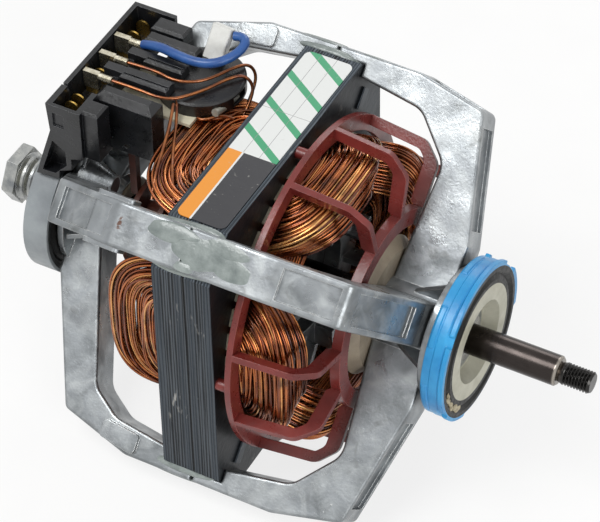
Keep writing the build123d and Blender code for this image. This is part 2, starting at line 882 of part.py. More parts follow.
# Drive pulley: a grooved neck with a hexagon at its end
groove_start = hex_face + (pulley_reach - pulley_groove_count * pulley_groove_pitch) / 2
pulley_outline = [(hex_face, stub_r + seat_gap), (hex_face, pulley_dia / 2)]
for groove in range(pulley_groove_count):
    groove_from = groove_start + groove * pulley_groove_pitch
    pulley_outline += [
        (groove_from, pulley_dia / 2),
        (groove_from + pulley_groove_pitch / 3, pulley_dia / 2 - pulley_groove_depth),
        (groove_from + pulley_groove_pitch * 2 / 3, pulley_dia / 2 - pulley_groove_depth),
    ]
pulley_outline += [
    (groove_start + pulley_groove_count * pulley_groove_pitch, pulley_dia / 2),
    (pulley_front, pulley_dia / 2), (pulley_front, stub_r + seat_gap),
]
with BuildPart() as drive_pulley:
    with BuildSketch(across(pulley_back)):
        RegularPolygon(hex_flats / 2, 6, major_radius=False)
        Circle(stub_r + seat_gap, mode=Mode.SUBTRACT)
    extrude(amount=hex_height)
    chamfer(drive_pulley.faces().sort_by(Axis.X)[0].outer_wire().edges(), shaft_chamfer)
    add(spun(pulley_outline))
keep(drive_pulley, "drive_pulley")

# Rotor: laminated core, and end rings with fan blades at each end
with BuildPart() as rotor_core:
    add(ring(stack_rear, stack_front, bore_r - rotor_gap, core_r + seat_gap))
keep(rotor_core, "rotor_core")

with BuildPart() as rotor_cage:
    for face, out in ((stack_front, 1), (stack_rear, -1)):
        ring_end = face + out * end_ring_height
        add(ring(face, ring_end, end_ring_r, end_ring_bore / 2))
        for blade in range(blade_count):
            blade_plane = along(blade * 360 / blade_count)
            with BuildSketch(blade_plane):
                with Locations((ring_end + out * blade_height / 2, (end_ring_r + end_ring_bore / 2) / 2)):
                    Rectangle(blade_height + 1, end_ring_r - end_ring_bore / 2 - 2 * blade_setback)
            extrude(amount=blade_thickness / 2, both=True)
keep(rotor_cage, "rotor_cage")

# Governor: a base on the shaft, two weights on pins, and the collar they push forward
plate_x = pivot_x + base_plate_offset
lug_from = weight_width / 2 + lug_gap
with BuildPart() as governor_base:
    add(ring(plate_x, plate_x + base_plate_thickness, base_plate_dia / 2, core_r + seat_gap))
    add(ring(plate_x, plate_x + base_hub_length, base_hub_dia / 2, core_r + seat_gap))
    for side in (1, -1):
        for row in (lug_from, -lug_from - lug_thickness):
            add(sheet(
                [
                    (plate_x + base_plate_thickness, side * base_plate_dia / 4),
                    (plate_x + base_plate_thickness, side * (weight_pivot_r - weight_boss_dia / 2 - 3)),
                    (pivot_x, side * (weight_pivot_r + weight_boss_dia / 2)),
                    (pivot_x - weight_boss_dia / 2, side * weight_pivot_r),
                    (pivot_x, side * (weight_pivot_r - weight_boss_dia / 2)),
                ],
                row, row + lug_thickness, radii=[0, 0, 2, 2, 3],
            ))
    with BuildSketch(Plane.XZ.offset(-lug_from - 2 * lug_thickness)):
        with Locations((pivot_x, weight_pivot_r), (pivot_x, -weight_pivot_r)):
            Circle(weight_pin_dia / 2 + seat_gap)
    extrude(amount=2 * lug_from + 4 * lug_thickness, mode=Mode.SUBTRACT)
keep(governor_base, "governor_base")

with BuildPart() as weight_pins:
    with BuildSketch(Plane.XZ.offset(-lug_from - lug_thickness - 1)):
        with Locations((pivot_x, weight_pivot_r), (pivot_x, -weight_pivot_r)):
            Circle(weight_pin_dia / 2)
    extrude(amount=2 * (lug_from + lug_thickness + 1))
keep(weight_pins, "weight_pins")

with BuildPart() as weight_blank:
    with BuildSketch(Plane.XZ):
        with Locations((pivot_x, weight_pivot_r)):
            Circle(weight_boss_dia / 2)
        with BuildLine():
            FilletPolyline(
                (pivot_x, weight_floor_r), (pivot_x + weight_length, weight_floor_r),
                (pivot_x + weight_length, weight_crown_r), (pivot_x, weight_crown_r - 3),
                radius=[0, 1.5, 3, 0], close=True,
            )
        make_face()
    extrude(amount=weight_width / 2, both=True)
    with BuildSketch(Plane.XZ):
        with Locations((pivot_x, weight_pivot_r - finger_length / 2)):
            Rectangle(finger_thickness, finger_length)
    extrude(amount=weight_width / 2 - 1, both=True)
    with BuildSketch(Plane.XZ):
        with Locations((pivot_x, weight_pivot_r)):
            Circle(weight_pin_dia / 2 + running_gap)
    extrude(amount=weight_width, both=True, mode=Mode.SUBTRACT)

with BuildPart() as governor_weight_top:
    add(weight_blank.part)
keep(governor_weight_top, "governor_weight_top")

with BuildPart() as governor_weight_bottom:
    add(weight_blank.part.rotate(Axis.X, 180))
keep(governor_weight_bottom, "governor_weight_bottom")

spring_from = weight_width / 2 + seat_gap * 5
with BuildPart() as governor_springs:
    with BuildSketch(Plane.XZ.offset(-lug_from + seat_gap)):
        with Locations((pivot_x, weight_pivot_r), (pivot_x, -weight_pivot_r)):
            Circle(weight_pin_dia / 2 + 1.4)
            Circle(weight_pin_dia / 2 + seat_gap, mode=Mode.SUBTRACT)
    extrude(amount=lug_from - spring_from)
keep(governor_springs, "governor_springs")

groove_half = collar_groove / 2
with BuildPart() as governor_collar:
    add(spun([
        (collar_back, core_r + collar_gap), (collar_back, collar_disc_dia / 2),
        (collar_back + collar_rim, collar_disc_dia / 2), (collar_back + collar_rim, collar_hub_dia / 2),
        (pivot_x - groove_half - collar_rim, collar_hub_dia / 2),
        (pivot_x - groove_half - collar_rim, collar_flange_dia / 2),
        (pivot_x - groove_half, collar_flange_dia / 2), (pivot_x - groove_half, collar_hub_dia / 2),
        (pivot_x + groove_half, collar_hub_dia / 2), (pivot_x + groove_half, collar_flange_dia / 2),
        (pivot_x + groove_half + collar_rim, collar_flange_dia / 2),
        (pivot_x + groove_half + collar_rim, core_r + collar_gap),
    ]))
keep(governor_collar, "governor_collar")


# Winding cage: a base ring on four feet, ribs that turn inward at the front, and a nose ring
cage_r = cage_dia / 2
cage_ring_x = stack_front + cage_ring_reach
cage_rib_x = cage_ring_x + cage_ring_length
cage_face = stack_front + cage_front_reach
cage_shoulder_r = cage_shoulder_dia / 2
cage_nose_r = cage_nose_dia / 2
with BuildPart() as cage_rib:
    with BuildSketch(along(0)):
        with BuildLine():
            FilletPolyline(
                (cage_rib_x, cage_r), (cage_face - cage_corner, cage_shoulder_r),
                (cage_face, cage_shoulder_r - cage_corner), (cage_face, cage_nose_r + seat_gap),
                (cage_face - cage_rib_depth, cage_nose_r + seat_gap),
                (cage_face - cage_face_depth, cage_nose_r + cage_rib_toe),
                (cage_face - cage_face_depth, cage_shoulder_r - cage_corner),
                (cage_face - cage_corner - cage_rib_toe, cage_shoulder_r - cage_rib_depth),
                (cage_rib_x, cage_r - cage_rib_depth),
                radius=[0, cage_outer_round, cage_outer_round, 0, 0, 0, cage_inner_round, cage_inner_round, 0],
                close=True,
            )
        make_face()
    extrude(amount=cage_rib_width / 2, both=True)
with BuildPart() as winding_cage:
    for rib in range(cage_rib_count):
        add(cage_rib.part.rotate(Axis.X, -(cage_rib_start + rib * 360 / cage_rib_count)))
keep(winding_cage, "winding_cage")

with BuildPart() as cage_base_ring:
    add(ring(cage_ring_x, cage_rib_x, cage_r, cage_ring_bore / 2))
    with BuildSketch(across(stack_front)):
        with PolarLocations((cage_r + cage_ring_bore / 2) / 2, 4):
            Circle(cage_foot_dia / 2)
    extrude(amount=cage_ring_reach + cage_ring_length / 2)
keep(cage_base_ring, "cage_base_ring")

with BuildPart() as cage_nose_ring:
    add(ring(cage_face - cage_rib_depth, cage_face, cage_nose_r, cage_nose_bore / 2))
keep(cage_nose_ring, "cage_nose_ring")

# Label: a plain sticker on the top face of the stack
with BuildPart() as label:
    with BuildSketch(Plane.XY.offset(stack_side / 2)):
        with Locations((stack_middle, label_shift)):
            RectangleRounded(label_width, label_length, label_corner)
    extrude(amount=label_thickness)
keep(label, "label")

# Switch housing: a long trough for the terminals, ribs and blocks, and the tower over the lever
trough_x = switch_back + trough_forward
tower_x = lever_x + tower_ahead
near_end = [
    (switch_back, switch_top), (trough_x, switch_top), (trough_x, 45), (switch_back + 10.2, 43),
    (switch_back + 10.2, 37), (switch_back + 4.0, 34.2), (switch_back + 3.6, 29.6),
    (switch_back - 7.4, 28.6), (switch_back + 1.2, 55.3),
]
near_window = [
    (switch_back - 4.3, 31.5), (switch_back + 2.0, 32.0), (switch_back + 7.8, 38.5),
    (switch_back + 7.8, 46), (switch_back + 1.8, 50),
]
trough_side = switch_back + switch_wall + 0.6
rib_top = switch_top - rib_drop
with BuildPart() as switch_housing:
    add(sheet(
        [
            (switch_back, switch_top), (switch_back + switch_wall, switch_top),
            (trough_side, trough_floor), (trough_x - inner_wall, trough_floor),
            (trough_x - inner_wall, inner_wall_top), (trough_x, inner_wall_top),
            (trough_x, trough_bottom), (switch_back + 1.2, trough_bottom),
        ],
        switch_near, switch_far,
    ))
    add(sheet(near_end, switch_near, switch_near + near_end_width))
    add(block(trough_side, trough_x - inner_wall, switch_near + side_wall,
              switch_near + near_end_width + 1, trough_floor, switch_top + 1), mode=Mode.SUBTRACT)
    add(sheet(near_window, switch_near - 1, switch_near + window_depth), mode=Mode.SUBTRACT)
    add(sheet(
        [(switch_back, switch_top), (switch_back + 20, switch_top), (switch_back + 20, 62),
         (switch_back + 17, trough_bottom), (switch_back + 1.2, trough_bottom)],
        switch_far - switch_wall, switch_far,
    ))
    add(bevelled(trough_x - 1, switch_back + near_block_end, *near_block_rows, near_block_bottom,
                 switch_top, top_bevel))
    add(bevelled(trough_x - inner_wall, tower_x, tower_near, tower_far, tower_bottom, switch_top, tower_bevel))
    for rib_back, rib_near, rib_far in rib_places:
        rib_row = (rib_near + rib_far - rib_core) / 2
        groove_row = rib_near + groove_inset
        add(block(switch_back + rib_back, switch_back + rib_end, rib_row, rib_row + rib_core, rib_floor, rib_top))
        add(bevelled(switch_back + rib_back + rib_set_back, switch_back + rib_end, rib_near, rib_far,
                     rib_floor, rib_top, top_bevel))
        add(block(switch_back + rib_back + rib_set_back + 1, switch_back + rib_end + 1, groove_row,
                  groove_row + groove_size, rib_top - groove_size, rib_top + 1), mode=Mode.SUBTRACT)
    add(bevelled(trough_x - 1, switch_back + rib_end, *far_rib_rows, rib_floor, switch_top, top_bevel))
    add(bevelled(trough_x - inner_wall, switch_back + far_block_end, *far_block_rows, far_block_bottom,
                 switch_top, top_bevel))
    add(block(switch_back + 3, switch_back + 8, switch_near - 1, switch_near + near_recess,
              trough_floor + 1, inner_wall_top), mode=Mode.SUBTRACT)
    add(block(switch_back - 1, trough_side, notch_row - notch_width / 2, notch_row + notch_width / 2,
              notch_bottom, switch_top + 1), mode=Mode.SUBTRACT)
    add(block(arm_tip - cavity_behind, lever_x + cavity_ahead,
              lever_row - lever_thickness / 2 - lever_side_gap,
              lever_row + lever_thickness / 2 + lever_side_gap, tower_bottom - 1, cavity_top),
        mode=Mode.SUBTRACT)
    with BuildSketch(Plane.XZ.offset(-tower_far - 1)):
        with Locations((lever_x, lever_pivot_z)):
            Circle(lever_pin_dia / 2 + seat_gap)
    extrude(amount=tower_far - tower_near + 2, mode=Mode.SUBTRACT)
    add(ring(rear_ring_face - 5, rear_ring_back + mount_clearance, mount_r + mount_clearance),
        mode=Mode.SUBTRACT)
keep(switch_housing, "switch_housing")

with BuildPart() as lever_pin:
    with BuildSketch(Plane.XZ.offset(-tower_far + 0.5)):
        with Locations((lever_x, lever_pivot_z)):
            Circle(lever_pin_dia / 2)
    extrude(amount=tower_far - tower_near - 1)
keep(lever_pin, "lever_pin")

# Switch lever: its foot follows the collar and its arm holds the leaf closed at rest
with BuildPart() as switch_lever:
    with BuildSketch(Plane.XZ.offset(-lever_row - lever_thickness / 2)):
        with Locations((lever_x, lever_pivot_z)):
            Circle(lever_boss_dia / 2)
        with Locations((lever_x, (lever_pivot_z + lever_foot_z + lever_width / 2) / 2)):
            Rectangle(lever_width, lever_pivot_z - lever_foot_z - lever_width / 2)
        with Locations((lever_x, lever_foot_z + lever_width / 2 + foot_bulge)):
            Circle(lever_width / 2 + foot_bulge)
        with BuildLine():
            Polyline(
                (lever_x, lever_pivot_z - 1.5), (arm_tip, lever_pivot_z - 0.5),
                (arm_tip, leaf_bottom - lever_gap), (arm_tip + 1.6, leaf_bottom - lever_gap),
                (arm_tip + 2.4, lever_pivot_z + 2), (lever_x, lever_pivot_z + 2), close=True,
            )
        make_face()
        with Locations((lever_x, lever_pivot_z)):
            Circle(lever_pin_dia / 2 + running_gap, mode=Mode.SUBTRACT)
    extrude(amount=lever_thickness)
keep(switch_lever, "switch_lever")

leaf_top = leaf_bottom + leaf_thickness
leaf_front = lever_x + 2.5
with BuildPart() as contact_leaf:
    add(block(arm_tip - 0.5, leaf_front, lever_row - 2, lever_row + 2, leaf_bottom, leaf_top))
    add(block(leaf_front - 3.5, leaf_front, lever_row - 2, lever_row + 2, leaf_bottom, cavity_top))
keep(contact_leaf, "contact_leaf")

with BuildPart() as fixed_contact:
    with BuildSketch(Plane.XY.offset(leaf_top + seat_gap)):
        with Locations((arm_tip + contact_dia / 2 - 0.3, lever_row)):
            Circle(contact_dia / 2 - 0.3)
    extrude(amount=cavity_top - leaf_top - seat_gap)
keep(fixed_contact, "fixed_contact")

# Terminal tabs in the trough, and the terminals pushed on three of them
tab_x = switch_back + tab_forward
with BuildPart() as terminal_tabs:
    for row in tab_rows:
        add(sheet(
            [
                (tab_x - tab_width / 2, trough_floor), (tab_x - tab_width / 2, tab_top),
                (tab_x + tab_width / 2, tab_top), (tab_x + tab_width / 2, trough_floor),
            ],
            row - tab_thickness / 2, row + tab_thickness / 2,
            radii=[0, tab_width / 2 - 0.2, tab_width / 2 - 0.2, 0],
        ))
keep(terminal_tabs, "terminal_tabs")

shell_top = tab_top + terminal_rise
shell_bottom = shell_top - terminal_height
barrel_z = shell_top - barrel_dia / 2
shell_x = tab_x + terminal_length / 2


def push_on_terminal(row, dia):
    # A folded shell over a tab, with a crimped barrel towards the front.
    with BuildPart() as made:
        add(block(tab_x - terminal_length / 2, shell_x, row - terminal_thickness / 2,
                  row + terminal_thickness / 2, shell_bottom, shell_top))
        add(block(tab_x - tab_width / 2 - terminal_gap, tab_x + tab_width / 2 + terminal_gap,
                  row - tab_thickness / 2 - terminal_gap, row + tab_thickness / 2 + terminal_gap,
                  shell_bottom - 1, tab_top + terminal_gap), mode=Mode.SUBTRACT)
        with BuildSketch(Plane(origin=(shell_x, row, barrel_z), x_dir=(0, 1, 0), z_dir=(1, 0, 0))):
            RegularPolygon(dia / 2, 8)
        extrude(amount=barrel_length)
    return made.part


with BuildPart() as winding_terminals:
    for row in winding_rows:
        add(push_on_terminal(row, barrel_dia))
keep(winding_terminals, "winding_terminals")

with BuildPart() as lead_terminal:
    add(push_on_terminal(lead_row, barrel_dia))
keep(lead_terminal, "lead_terminal")

# Thermal protector: a round body on its strap
protector_x = switch_back + protector_forward
with BuildPart() as thermal_protector:
    with BuildSketch(Plane.XY.offset(protector_bottom)):
        with Locations((protector_x, protector_row)):
            Circle(protector_dia / 2)
    extrude(amount=protector_top - protector_bottom)
    chamfer(thermal_protector.faces().sort_by(Axis.Z)[-1].edges(), protector_bevel)
    add(block(protector_x + recess_ahead, protector_x + protector_dia, protector_row + recess_rows[0],
              protector_row + recess_rows[1], protector_bottom + recess_walls[0],
              protector_top - recess_walls[1]), mode=Mode.SUBTRACT)
keep(thermal_protector, "thermal_protector")

with BuildPart() as protector_strap:
    add(block(trough_x + seat_gap, protector_x + strap_ahead, strap_near, strap_far,
              protector_bottom - seat_gap - strap_thickness, protector_bottom - seat_gap))
keep(protector_strap, "protector_strap")

# Connector of the blue lead: it leans on the protector
lean = math.radians(connector_lean)
connector_foot = Vector(protector_x + 0.4, 36.5, protector_top + connector_thickness / 2 * math.sin(lean) + 0.25)
connector_rise = Vector(0.08, math.sin(lean), math.cos(lean)).normalized()
with BuildPart() as flag_connector:
    with BuildSketch(Plane(origin=connector_foot, x_dir=(1, 0, 0), z_dir=connector_rise)):
        RectangleRounded(connector_width, connector_thickness, 1)
    extrude(amount=connector_length)
keep(flag_connector, "flag_connector")

# Leads: each is a list of points chosen by hand, from its terminal to where it ends
barrel_end = shell_x + barrel_length
connector_side = connector_foot + connector_rise * (connector_length - 2.6)
blue_route = [
    (barrel_end + 0.3, lead_row, barrel_z + 0.6), (protector_x - 21, 27.6, 71.3), (protector_x - 11.5, 25.4, 72.2),
    (protector_x - 2.5, 24.4, 72.4), (protector_x + 5.5, 26.0, 72.8), (protector_x + 11.4, 31.8, 74.0),
    (protector_x + 13.9, 39.5, 75.6), (protector_x + 11.3, 43.6, 76.4),
    (connector_side.X + connector_width / 2 + 1.0, connector_side.Y, connector_side.Z),
]
with BuildPart() as blue_lead:
    add(lead("blue lead", blue_route, blue_lead_dia))
keep(blue_lead, "blue_lead")

copper_routes = [
    [
        (barrel_end + 0.1, 16.5, barrel_z), (protector_x - 16, 17.6, 67.4), (protector_x - 9, 16.4, 66.8),
        (protector_x - 2.5, 17.8, 66.4), (protector_x + 3, 21.6, 66.2), (protector_x + 7, 27.5, 66.1),
        (protector_x + 10, 34, 66.2), (protector_x + 14.2, 40.8, 65.4), (protector_x + 17.2, 42.0, 60.4),
        (protector_x + 18, 38.0, 55.2), (protector_x + 18.4, 31.5, 52.1),
    ],
    [
        (barrel_end + 0.1, 3.9, barrel_z), (protector_x - 16, 4.7, 67), (protector_x - 9, 4.6, 66.4),
        (protector_x - 2.2, 6.9, 65.8), (protector_x + 2.8, 13, 65.4), (protector_x + 7.5, 20.5, 65.2),
        (protector_x + 11.2, 28, 65.6), (protector_x + 16.0, 33.8, 65.6), (protector_x + 20.2, 34.4, 61.0),
        (protector_x + 20.6, 30.5, 55.6), (protector_x + 20.4, 24.4, 52.1),
    ],
    [
        (protector_x - 6.5, 14.5, 55.2), (protector_x - 1.5, 2.5, 53.6),
        (protector_x + 4, -10.5, 52.8), (protector_x + 10, -24, 52.1),
    ],
    [
        (protector_x - 4.5, 16.5, 55.2), (protector_x + 1.5, 1, 53.8),
        (protector_x + 9.5, -14, 52.8), (protector_x + 18.5, -28, 52.1),
    ],
]
with BuildPart() as winding_leads:
    for number, points in enumerate(copper_routes):
        add(lead(f"copper lead {number + 1}", points, copper_lead_dia))
keep(winding_leads, "winding_leads")
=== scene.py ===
import math
import bpy
import numpy as np
from mathutils import Matrix, Vector


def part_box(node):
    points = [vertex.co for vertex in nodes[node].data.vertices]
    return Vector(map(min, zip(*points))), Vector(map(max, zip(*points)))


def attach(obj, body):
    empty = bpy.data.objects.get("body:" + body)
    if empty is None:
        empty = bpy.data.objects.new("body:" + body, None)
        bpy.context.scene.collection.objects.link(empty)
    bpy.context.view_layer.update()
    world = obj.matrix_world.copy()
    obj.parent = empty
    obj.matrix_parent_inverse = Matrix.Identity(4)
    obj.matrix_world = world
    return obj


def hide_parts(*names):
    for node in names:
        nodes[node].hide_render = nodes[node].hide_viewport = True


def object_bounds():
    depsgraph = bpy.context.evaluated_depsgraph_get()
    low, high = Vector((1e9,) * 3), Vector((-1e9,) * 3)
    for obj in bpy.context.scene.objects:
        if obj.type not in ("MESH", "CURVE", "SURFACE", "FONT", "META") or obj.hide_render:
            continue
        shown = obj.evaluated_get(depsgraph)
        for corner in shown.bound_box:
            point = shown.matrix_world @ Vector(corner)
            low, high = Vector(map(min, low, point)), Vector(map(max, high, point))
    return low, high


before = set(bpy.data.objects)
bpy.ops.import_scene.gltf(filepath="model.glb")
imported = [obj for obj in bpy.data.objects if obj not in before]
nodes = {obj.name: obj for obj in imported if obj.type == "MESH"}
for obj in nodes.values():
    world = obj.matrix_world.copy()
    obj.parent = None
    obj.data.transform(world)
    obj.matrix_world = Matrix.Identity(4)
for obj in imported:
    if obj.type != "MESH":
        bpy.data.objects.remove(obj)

mm = 0.001
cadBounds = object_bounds()
print("frame loaded:", len(nodes), "nodes")


def linear(hexColour):
    # sRGB hex to linear: c/12.92 below 0.04045, else ((c+0.055)/1.055)^2.4
    parts = [int(hexColour[i:i + 2], 16) / 255 for i in (1, 3, 5)]
    return [c / 12.92 if c <= 0.04045 else ((c + 0.055) / 1.055) ** 2.4 for c in parts] + [1.0]


def addNode(tree, kind, inputs=None, stops=(), **settings):
    # adds one node; an input is a socket to link, a hex colour or a value; stops are a ramp's
    # (place, tone) pairs; a colour Mix takes its share at 0 and its colours at 6 and 7, and gives output 2
    node = tree.nodes.new(kind)
    for key, value in settings.items():
        setattr(node, key, value)
    for key, value in (inputs or {}).items():
        if isinstance(value, bpy.types.NodeSocket):
            tree.links.new(value, node.inputs[key])
        else:
            node.inputs[key].default_value = linear(value) if isinstance(value, str) else value
    if stops:
        elements = node.color_ramp.elements
        while len(elements) < len(stops):
            elements.new(0.5)
        for element, (place, tone) in zip(elements, stops):
            element.position = place
            element.color = linear(tone) if isinstance(tone, str) else (tone, tone, tone, 1)
    return node.outputs


def newMaterial(name, metallic=0.0, roughness=0.5, **sockets):
    # a material, its tree and its shader; sockets are set by name, with _ for a space
    material = bpy.data.materials.new(name)
    material.use_nodes = True
    shader = material.node_tree.nodes["Principled BSDF"]
    shader.inputs["Metallic"].default_value = metallic
    shader.inputs["Roughness"].default_value = roughness
    for key, value in sockets.items():
        shader.inputs[key.replace("_", " ")].default_value = value
    return material, material.node_tree, shader


def millimetres(tree, stretch=(1, 1, 1)):
    # object coordinates in millimetres, times stretch: a small factor draws the pattern out along that axis
    place = addNode(tree, "ShaderNodeTexCoord")["Object"]
    return addNode(tree, "ShaderNodeMapping", {"Vector": place, "Scale": [s / mm for s in stretch]})[0]


outlineFineness = 0.55  # how much the finer octaves break up the outline of a patch


def patches(tree, vector, size, low=0.3, high=0.7, tones=(0.0, 1.0), detail=3.0, distortion=0.0):
    # soft patches about size mm across: noise, cut from the first tone at low to the last at high
    field = addNode(tree, "ShaderNodeTexNoise", {"Vector": vector, "Scale": 1 / size, "Detail": detail,
                                                 "Roughness": outlineFineness, "Distortion": distortion})[0]
    places = np.linspace(low, high, len(tones))
    return addNode(tree, "ShaderNodeValToRGB", {"Fac": field}, stops=list(zip(places, tones)))[0]


# painted edge highlight, broken into patches like wear: where the rounded normal turns from the face's, the
# edge is lightened in colour, standing in for light caught by rounded edges
edgeHighlightAndWearPlan = {"share": 0.8, "fades": ((0.9, 1.0), (0.985, 0.0)),  # at these cosines of the turn of the normal
             "spots": dict(size=5, low=0.36, high=0.6, tones=(0.15, 0.8), detail=5), "samples": 4}


def finish(tree, shader, colour, roughness=None, height=None, depth=0.0, edge=0.0, worn=None):
    # links colour, roughness and a relief of depth mm into the shader; edges catch light as if edge mm round,
    # and where the rounded normal leaves the face's they take the given colour in patches: a painted edge
    # highlight, partly wear
    if worn:
        radius = edge * mm * edgeHighlightAndWearPlan["share"]
        rounded = addNode(tree, "ShaderNodeBevel", {"Radius": radius}, samples=edgeHighlightAndWearPlan["samples"])[0]
        flat = addNode(tree, "ShaderNodeNewGeometry")["Normal"]
        same = addNode(tree, "ShaderNodeVectorMath", {0: rounded, 1: flat}, operation="DOT_PRODUCT")["Value"]
        paintedEdgeHighlight = addNode(tree, "ShaderNodeValToRGB", {0: same}, stops=edgeHighlightAndWearPlan["fades"])[0]
        spots = patches(tree, millimetres(tree), **edgeHighlightAndWearPlan["spots"])
        share = addNode(tree, "ShaderNodeMath", {0: paintedEdgeHighlight, 1: spots}, operation="MULTIPLY")[0]
        # painted edge highlight, in patches like wear: the edge's colour is mixed toward this tone
        colour = addNode(tree, "ShaderNodeMix", {0: share, 6: colour, 7: worn}, data_type="RGBA")[2]
    tree.links.new(colour, shader.inputs["Base Color"])
    if roughness is not None:
        tree.links.new(roughness, shader.inputs["Roughness"])
    if height is not None:
        sockets = {"Height": height, "Distance": depth * mm, "Strength": 1.0}
        if edge:
            sockets["Normal"] = addNode(tree, "ShaderNodeBevel", {"Radius": edge * mm},
                                        samples=edgeHighlightAndWearPlan["samples"])[0]
        bump = addNode(tree, "ShaderNodeBump", sockets)
        tree.links.new(bump[0], shader.inputs["Normal"])


def dress(material, *names):
    # gives carried-over nodes their finish
    for name in names:
        nodes[name].data.materials.clear()
        nodes[name].data.materials.append(material)


def meshPiece(name, vertices, faces, material, body, slotName, replaced=(), sharp=40.0, tone=None):
    # vertices (n, 3) in millimetres, faces (m, 4) of corner numbers; edges over sharp degrees stay crisp,
    # and tone is one lightness for each vertex
    mesh = bpy.data.meshes.new(name)
    mesh.vertices.add(len(vertices))
    mesh.vertices.foreach_set("co", (np.asarray(vertices) * mm).astype(np.float32).ravel())
    faces = np.asarray(faces, np.int32)
    mesh.loops.add(faces.size)
    mesh.loops.foreach_set("vertex_index", faces.ravel())
    mesh.polygons.add(len(faces))
    mesh.polygons.foreach_set("loop_start", np.arange(len(faces), dtype=np.int32) * faces.shape[1])
    mesh.polygons.foreach_set("use_smooth", np.ones(len(faces), bool))
    mesh.update(calc_edges=True)
    if sharp:
        mesh.set_sharp_from_angle(angle=math.radians(sharp))
    if tone is not None:
        wireTone = mesh.attributes.new("wireTone", "FLOAT", "POINT")
        wireTone.data.foreach_set("value", np.asarray(tone, np.float32))
    mesh.materials.append(material)
    piece = bpy.data.objects.new(name, mesh)
    bpy.context.scene.collection.objects.link(piece)
    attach(piece, body)
    if replaced:
        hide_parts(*replaced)
    print(name, len(faces) * 2, "triangles")


def gridFaces(rows, columns, closeRows=False, closeColumns=False):
    # quads between the neighbours of a rows x columns grid, wrapped round where closed
    row = np.arange(rows if closeRows else rows - 1)[:, None]
    column = np.arange(columns if closeColumns else columns - 1)[None, :]
    nextRow, nextColumn = (row + 1) % rows, (column + 1) % columns
    corners = [row * columns + column, row * columns + nextColumn, nextRow * columns + nextColumn,
               nextRow * columns + column]
    return np.stack([np.broadcast_to(k, (row.shape[0], column.shape[1])) for k in corners], -1).reshape(-1, 4)


def joined(shells):
    # one mesh of many shells: the corner numbers of each move on by the number of vertices before it
    starts = np.cumsum([0] + [len(vertices) for vertices, _ in shells[:-1]])
    faces = [quads + start for (_, quads), start in zip(shells, starts)]
    return np.concatenate([vertices for vertices, _ in shells]), np.concatenate(faces)


def unit(v):
    # each vector divided by its length
    return v / np.linalg.norm(v, axis=-1, keepdims=True)


endShare = 0.02  # share of the radius left at the ends of a wire, which come to a point


def tubes(paths, radius, sides, upward):
    # paths (n, m, 3): each point p gives a ring p + radius (cos a * across + sin a * up), square to the path
    along = unit(np.gradient(paths, axis=1))
    across = unit(np.cross(along, upward))
    up = np.cross(across, along)
    angle = np.arange(sides) * 2 * math.pi / sides
    ring = np.cos(angle)[:, None] * across[:, :, None] + np.sin(angle)[:, None] * up[:, :, None]
    ring[:, 0] *= endShare
    ring[:, -1] *= endShare
    count, length = paths.shape[:2]
    one = gridFaces(length, sides, closeColumns=True)[:, ::-1]
    faces = one[None] + (np.arange(count) * length * sides)[:, None, None]
    return (paths[:, :, None] + radius * ring).reshape(-1, 3), faces.reshape(-1, 4)


def waves(rng, count, t, most=3):
    # a sum of a few waves with random phases: size cos(k t + phase) / k
    k = np.arange(1, most + 1)[:, None]
    phase = rng.uniform(0, 2 * math.pi, (count, most, 1))
    size = rng.normal(0, 1, (count, most, 1))
    return (size * np.cos(k * t + phase) / k).sum(axis=1)


def squareArch(t, square):
    # a half circle drawn towards a square: sign(cos t)|cos t|^square and |sin t|^square
    return np.sign(np.cos(t)) * np.abs(np.cos(t)) ** square, np.abs(np.sin(t)) ** square


def turned(points, degrees):
    # points turned about the shaft, positive from Y towards Z
    a = math.radians(degrees)
    return points @ np.array([[1, 0, 0], [0, math.cos(a), -math.sin(a)], [0, math.sin(a), math.cos(a)]]).T


stackLength = 26.0
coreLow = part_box("stator_core")[0]
stackRear = coreLow.x / mm
stackFront = stackRear + stackLength
stackMiddle = (stackRear + stackFront) / 2
shaftLow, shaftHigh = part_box("shaft")
bandLow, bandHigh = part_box("front_mount_band")
print("stack from", round(stackRear, 2), "to", round(stackFront, 2))

# punched silicon steel, stacked: fine dark lines between sheets, bluish grey, with bright scuffs; single
# sheets are too fine to show, so one line is drawn for about every two
laminations = {"pitch": 1.3, "tones": ((0, "#15181b"), (0.45, "#34393e"), (1, "#555b61")),
               "lineStretch": (1, 0.02, 0.02), "wobble": dict(size=1.1, low=0.0, high=1.0, detail=2),
               "wobbleTurns": 9.0, "bandStretch": (1, 0.01, 0.01), "blued": "#3b434b",
               "bands": dict(size=4.5, low=0.45, high=0.6, tones=(0.0, 0.55), detail=1),
               "seam": "#0f1113", "seamAt": stackMiddle + 1.2, "seamHalf": 0.45,
               "streakStretch": (1, 0.25, 0.25), "streaks": dict(size=2.4, low=0.62, high=0.72, detail=4),
               "scuffed": dict(size=22, low=0.55, high=0.7, tones=(0.0, 0.8)), "scuff": "#b9b7b2",
               "dents": dict(size=3, low=0, high=1), "dentShare": 2.0, "depth": 0.08}
steelStack, tree, shader = newMaterial("punchedSteelStack", 0.75, 0.42)
vector = millimetres(tree)
x = addNode(tree, "ShaderNodeSeparateXYZ", {0: vector})["X"]
wobble = patches(tree, millimetres(tree, laminations["lineStretch"]), **laminations["wobble"])
turns = addNode(tree, "ShaderNodeMath", {0: x, 1: 2 * math.pi / laminations["pitch"]},
                operation="MULTIPLY")[0]
turns = addNode(tree, "ShaderNodeMath", {0: wobble, 1: laminations["wobbleTurns"], 2: turns},
                operation="MULTIPLY_ADD")[0]
stripes = addNode(tree, "ShaderNodeMath", {0: turns}, operation="SINE")[0]  # from -1 to 1, then made 0 to 1
share = addNode(tree, "ShaderNodeMath", {0: stripes, 1: 0.5, 2: 0.5}, operation="MULTIPLY_ADD")[0]
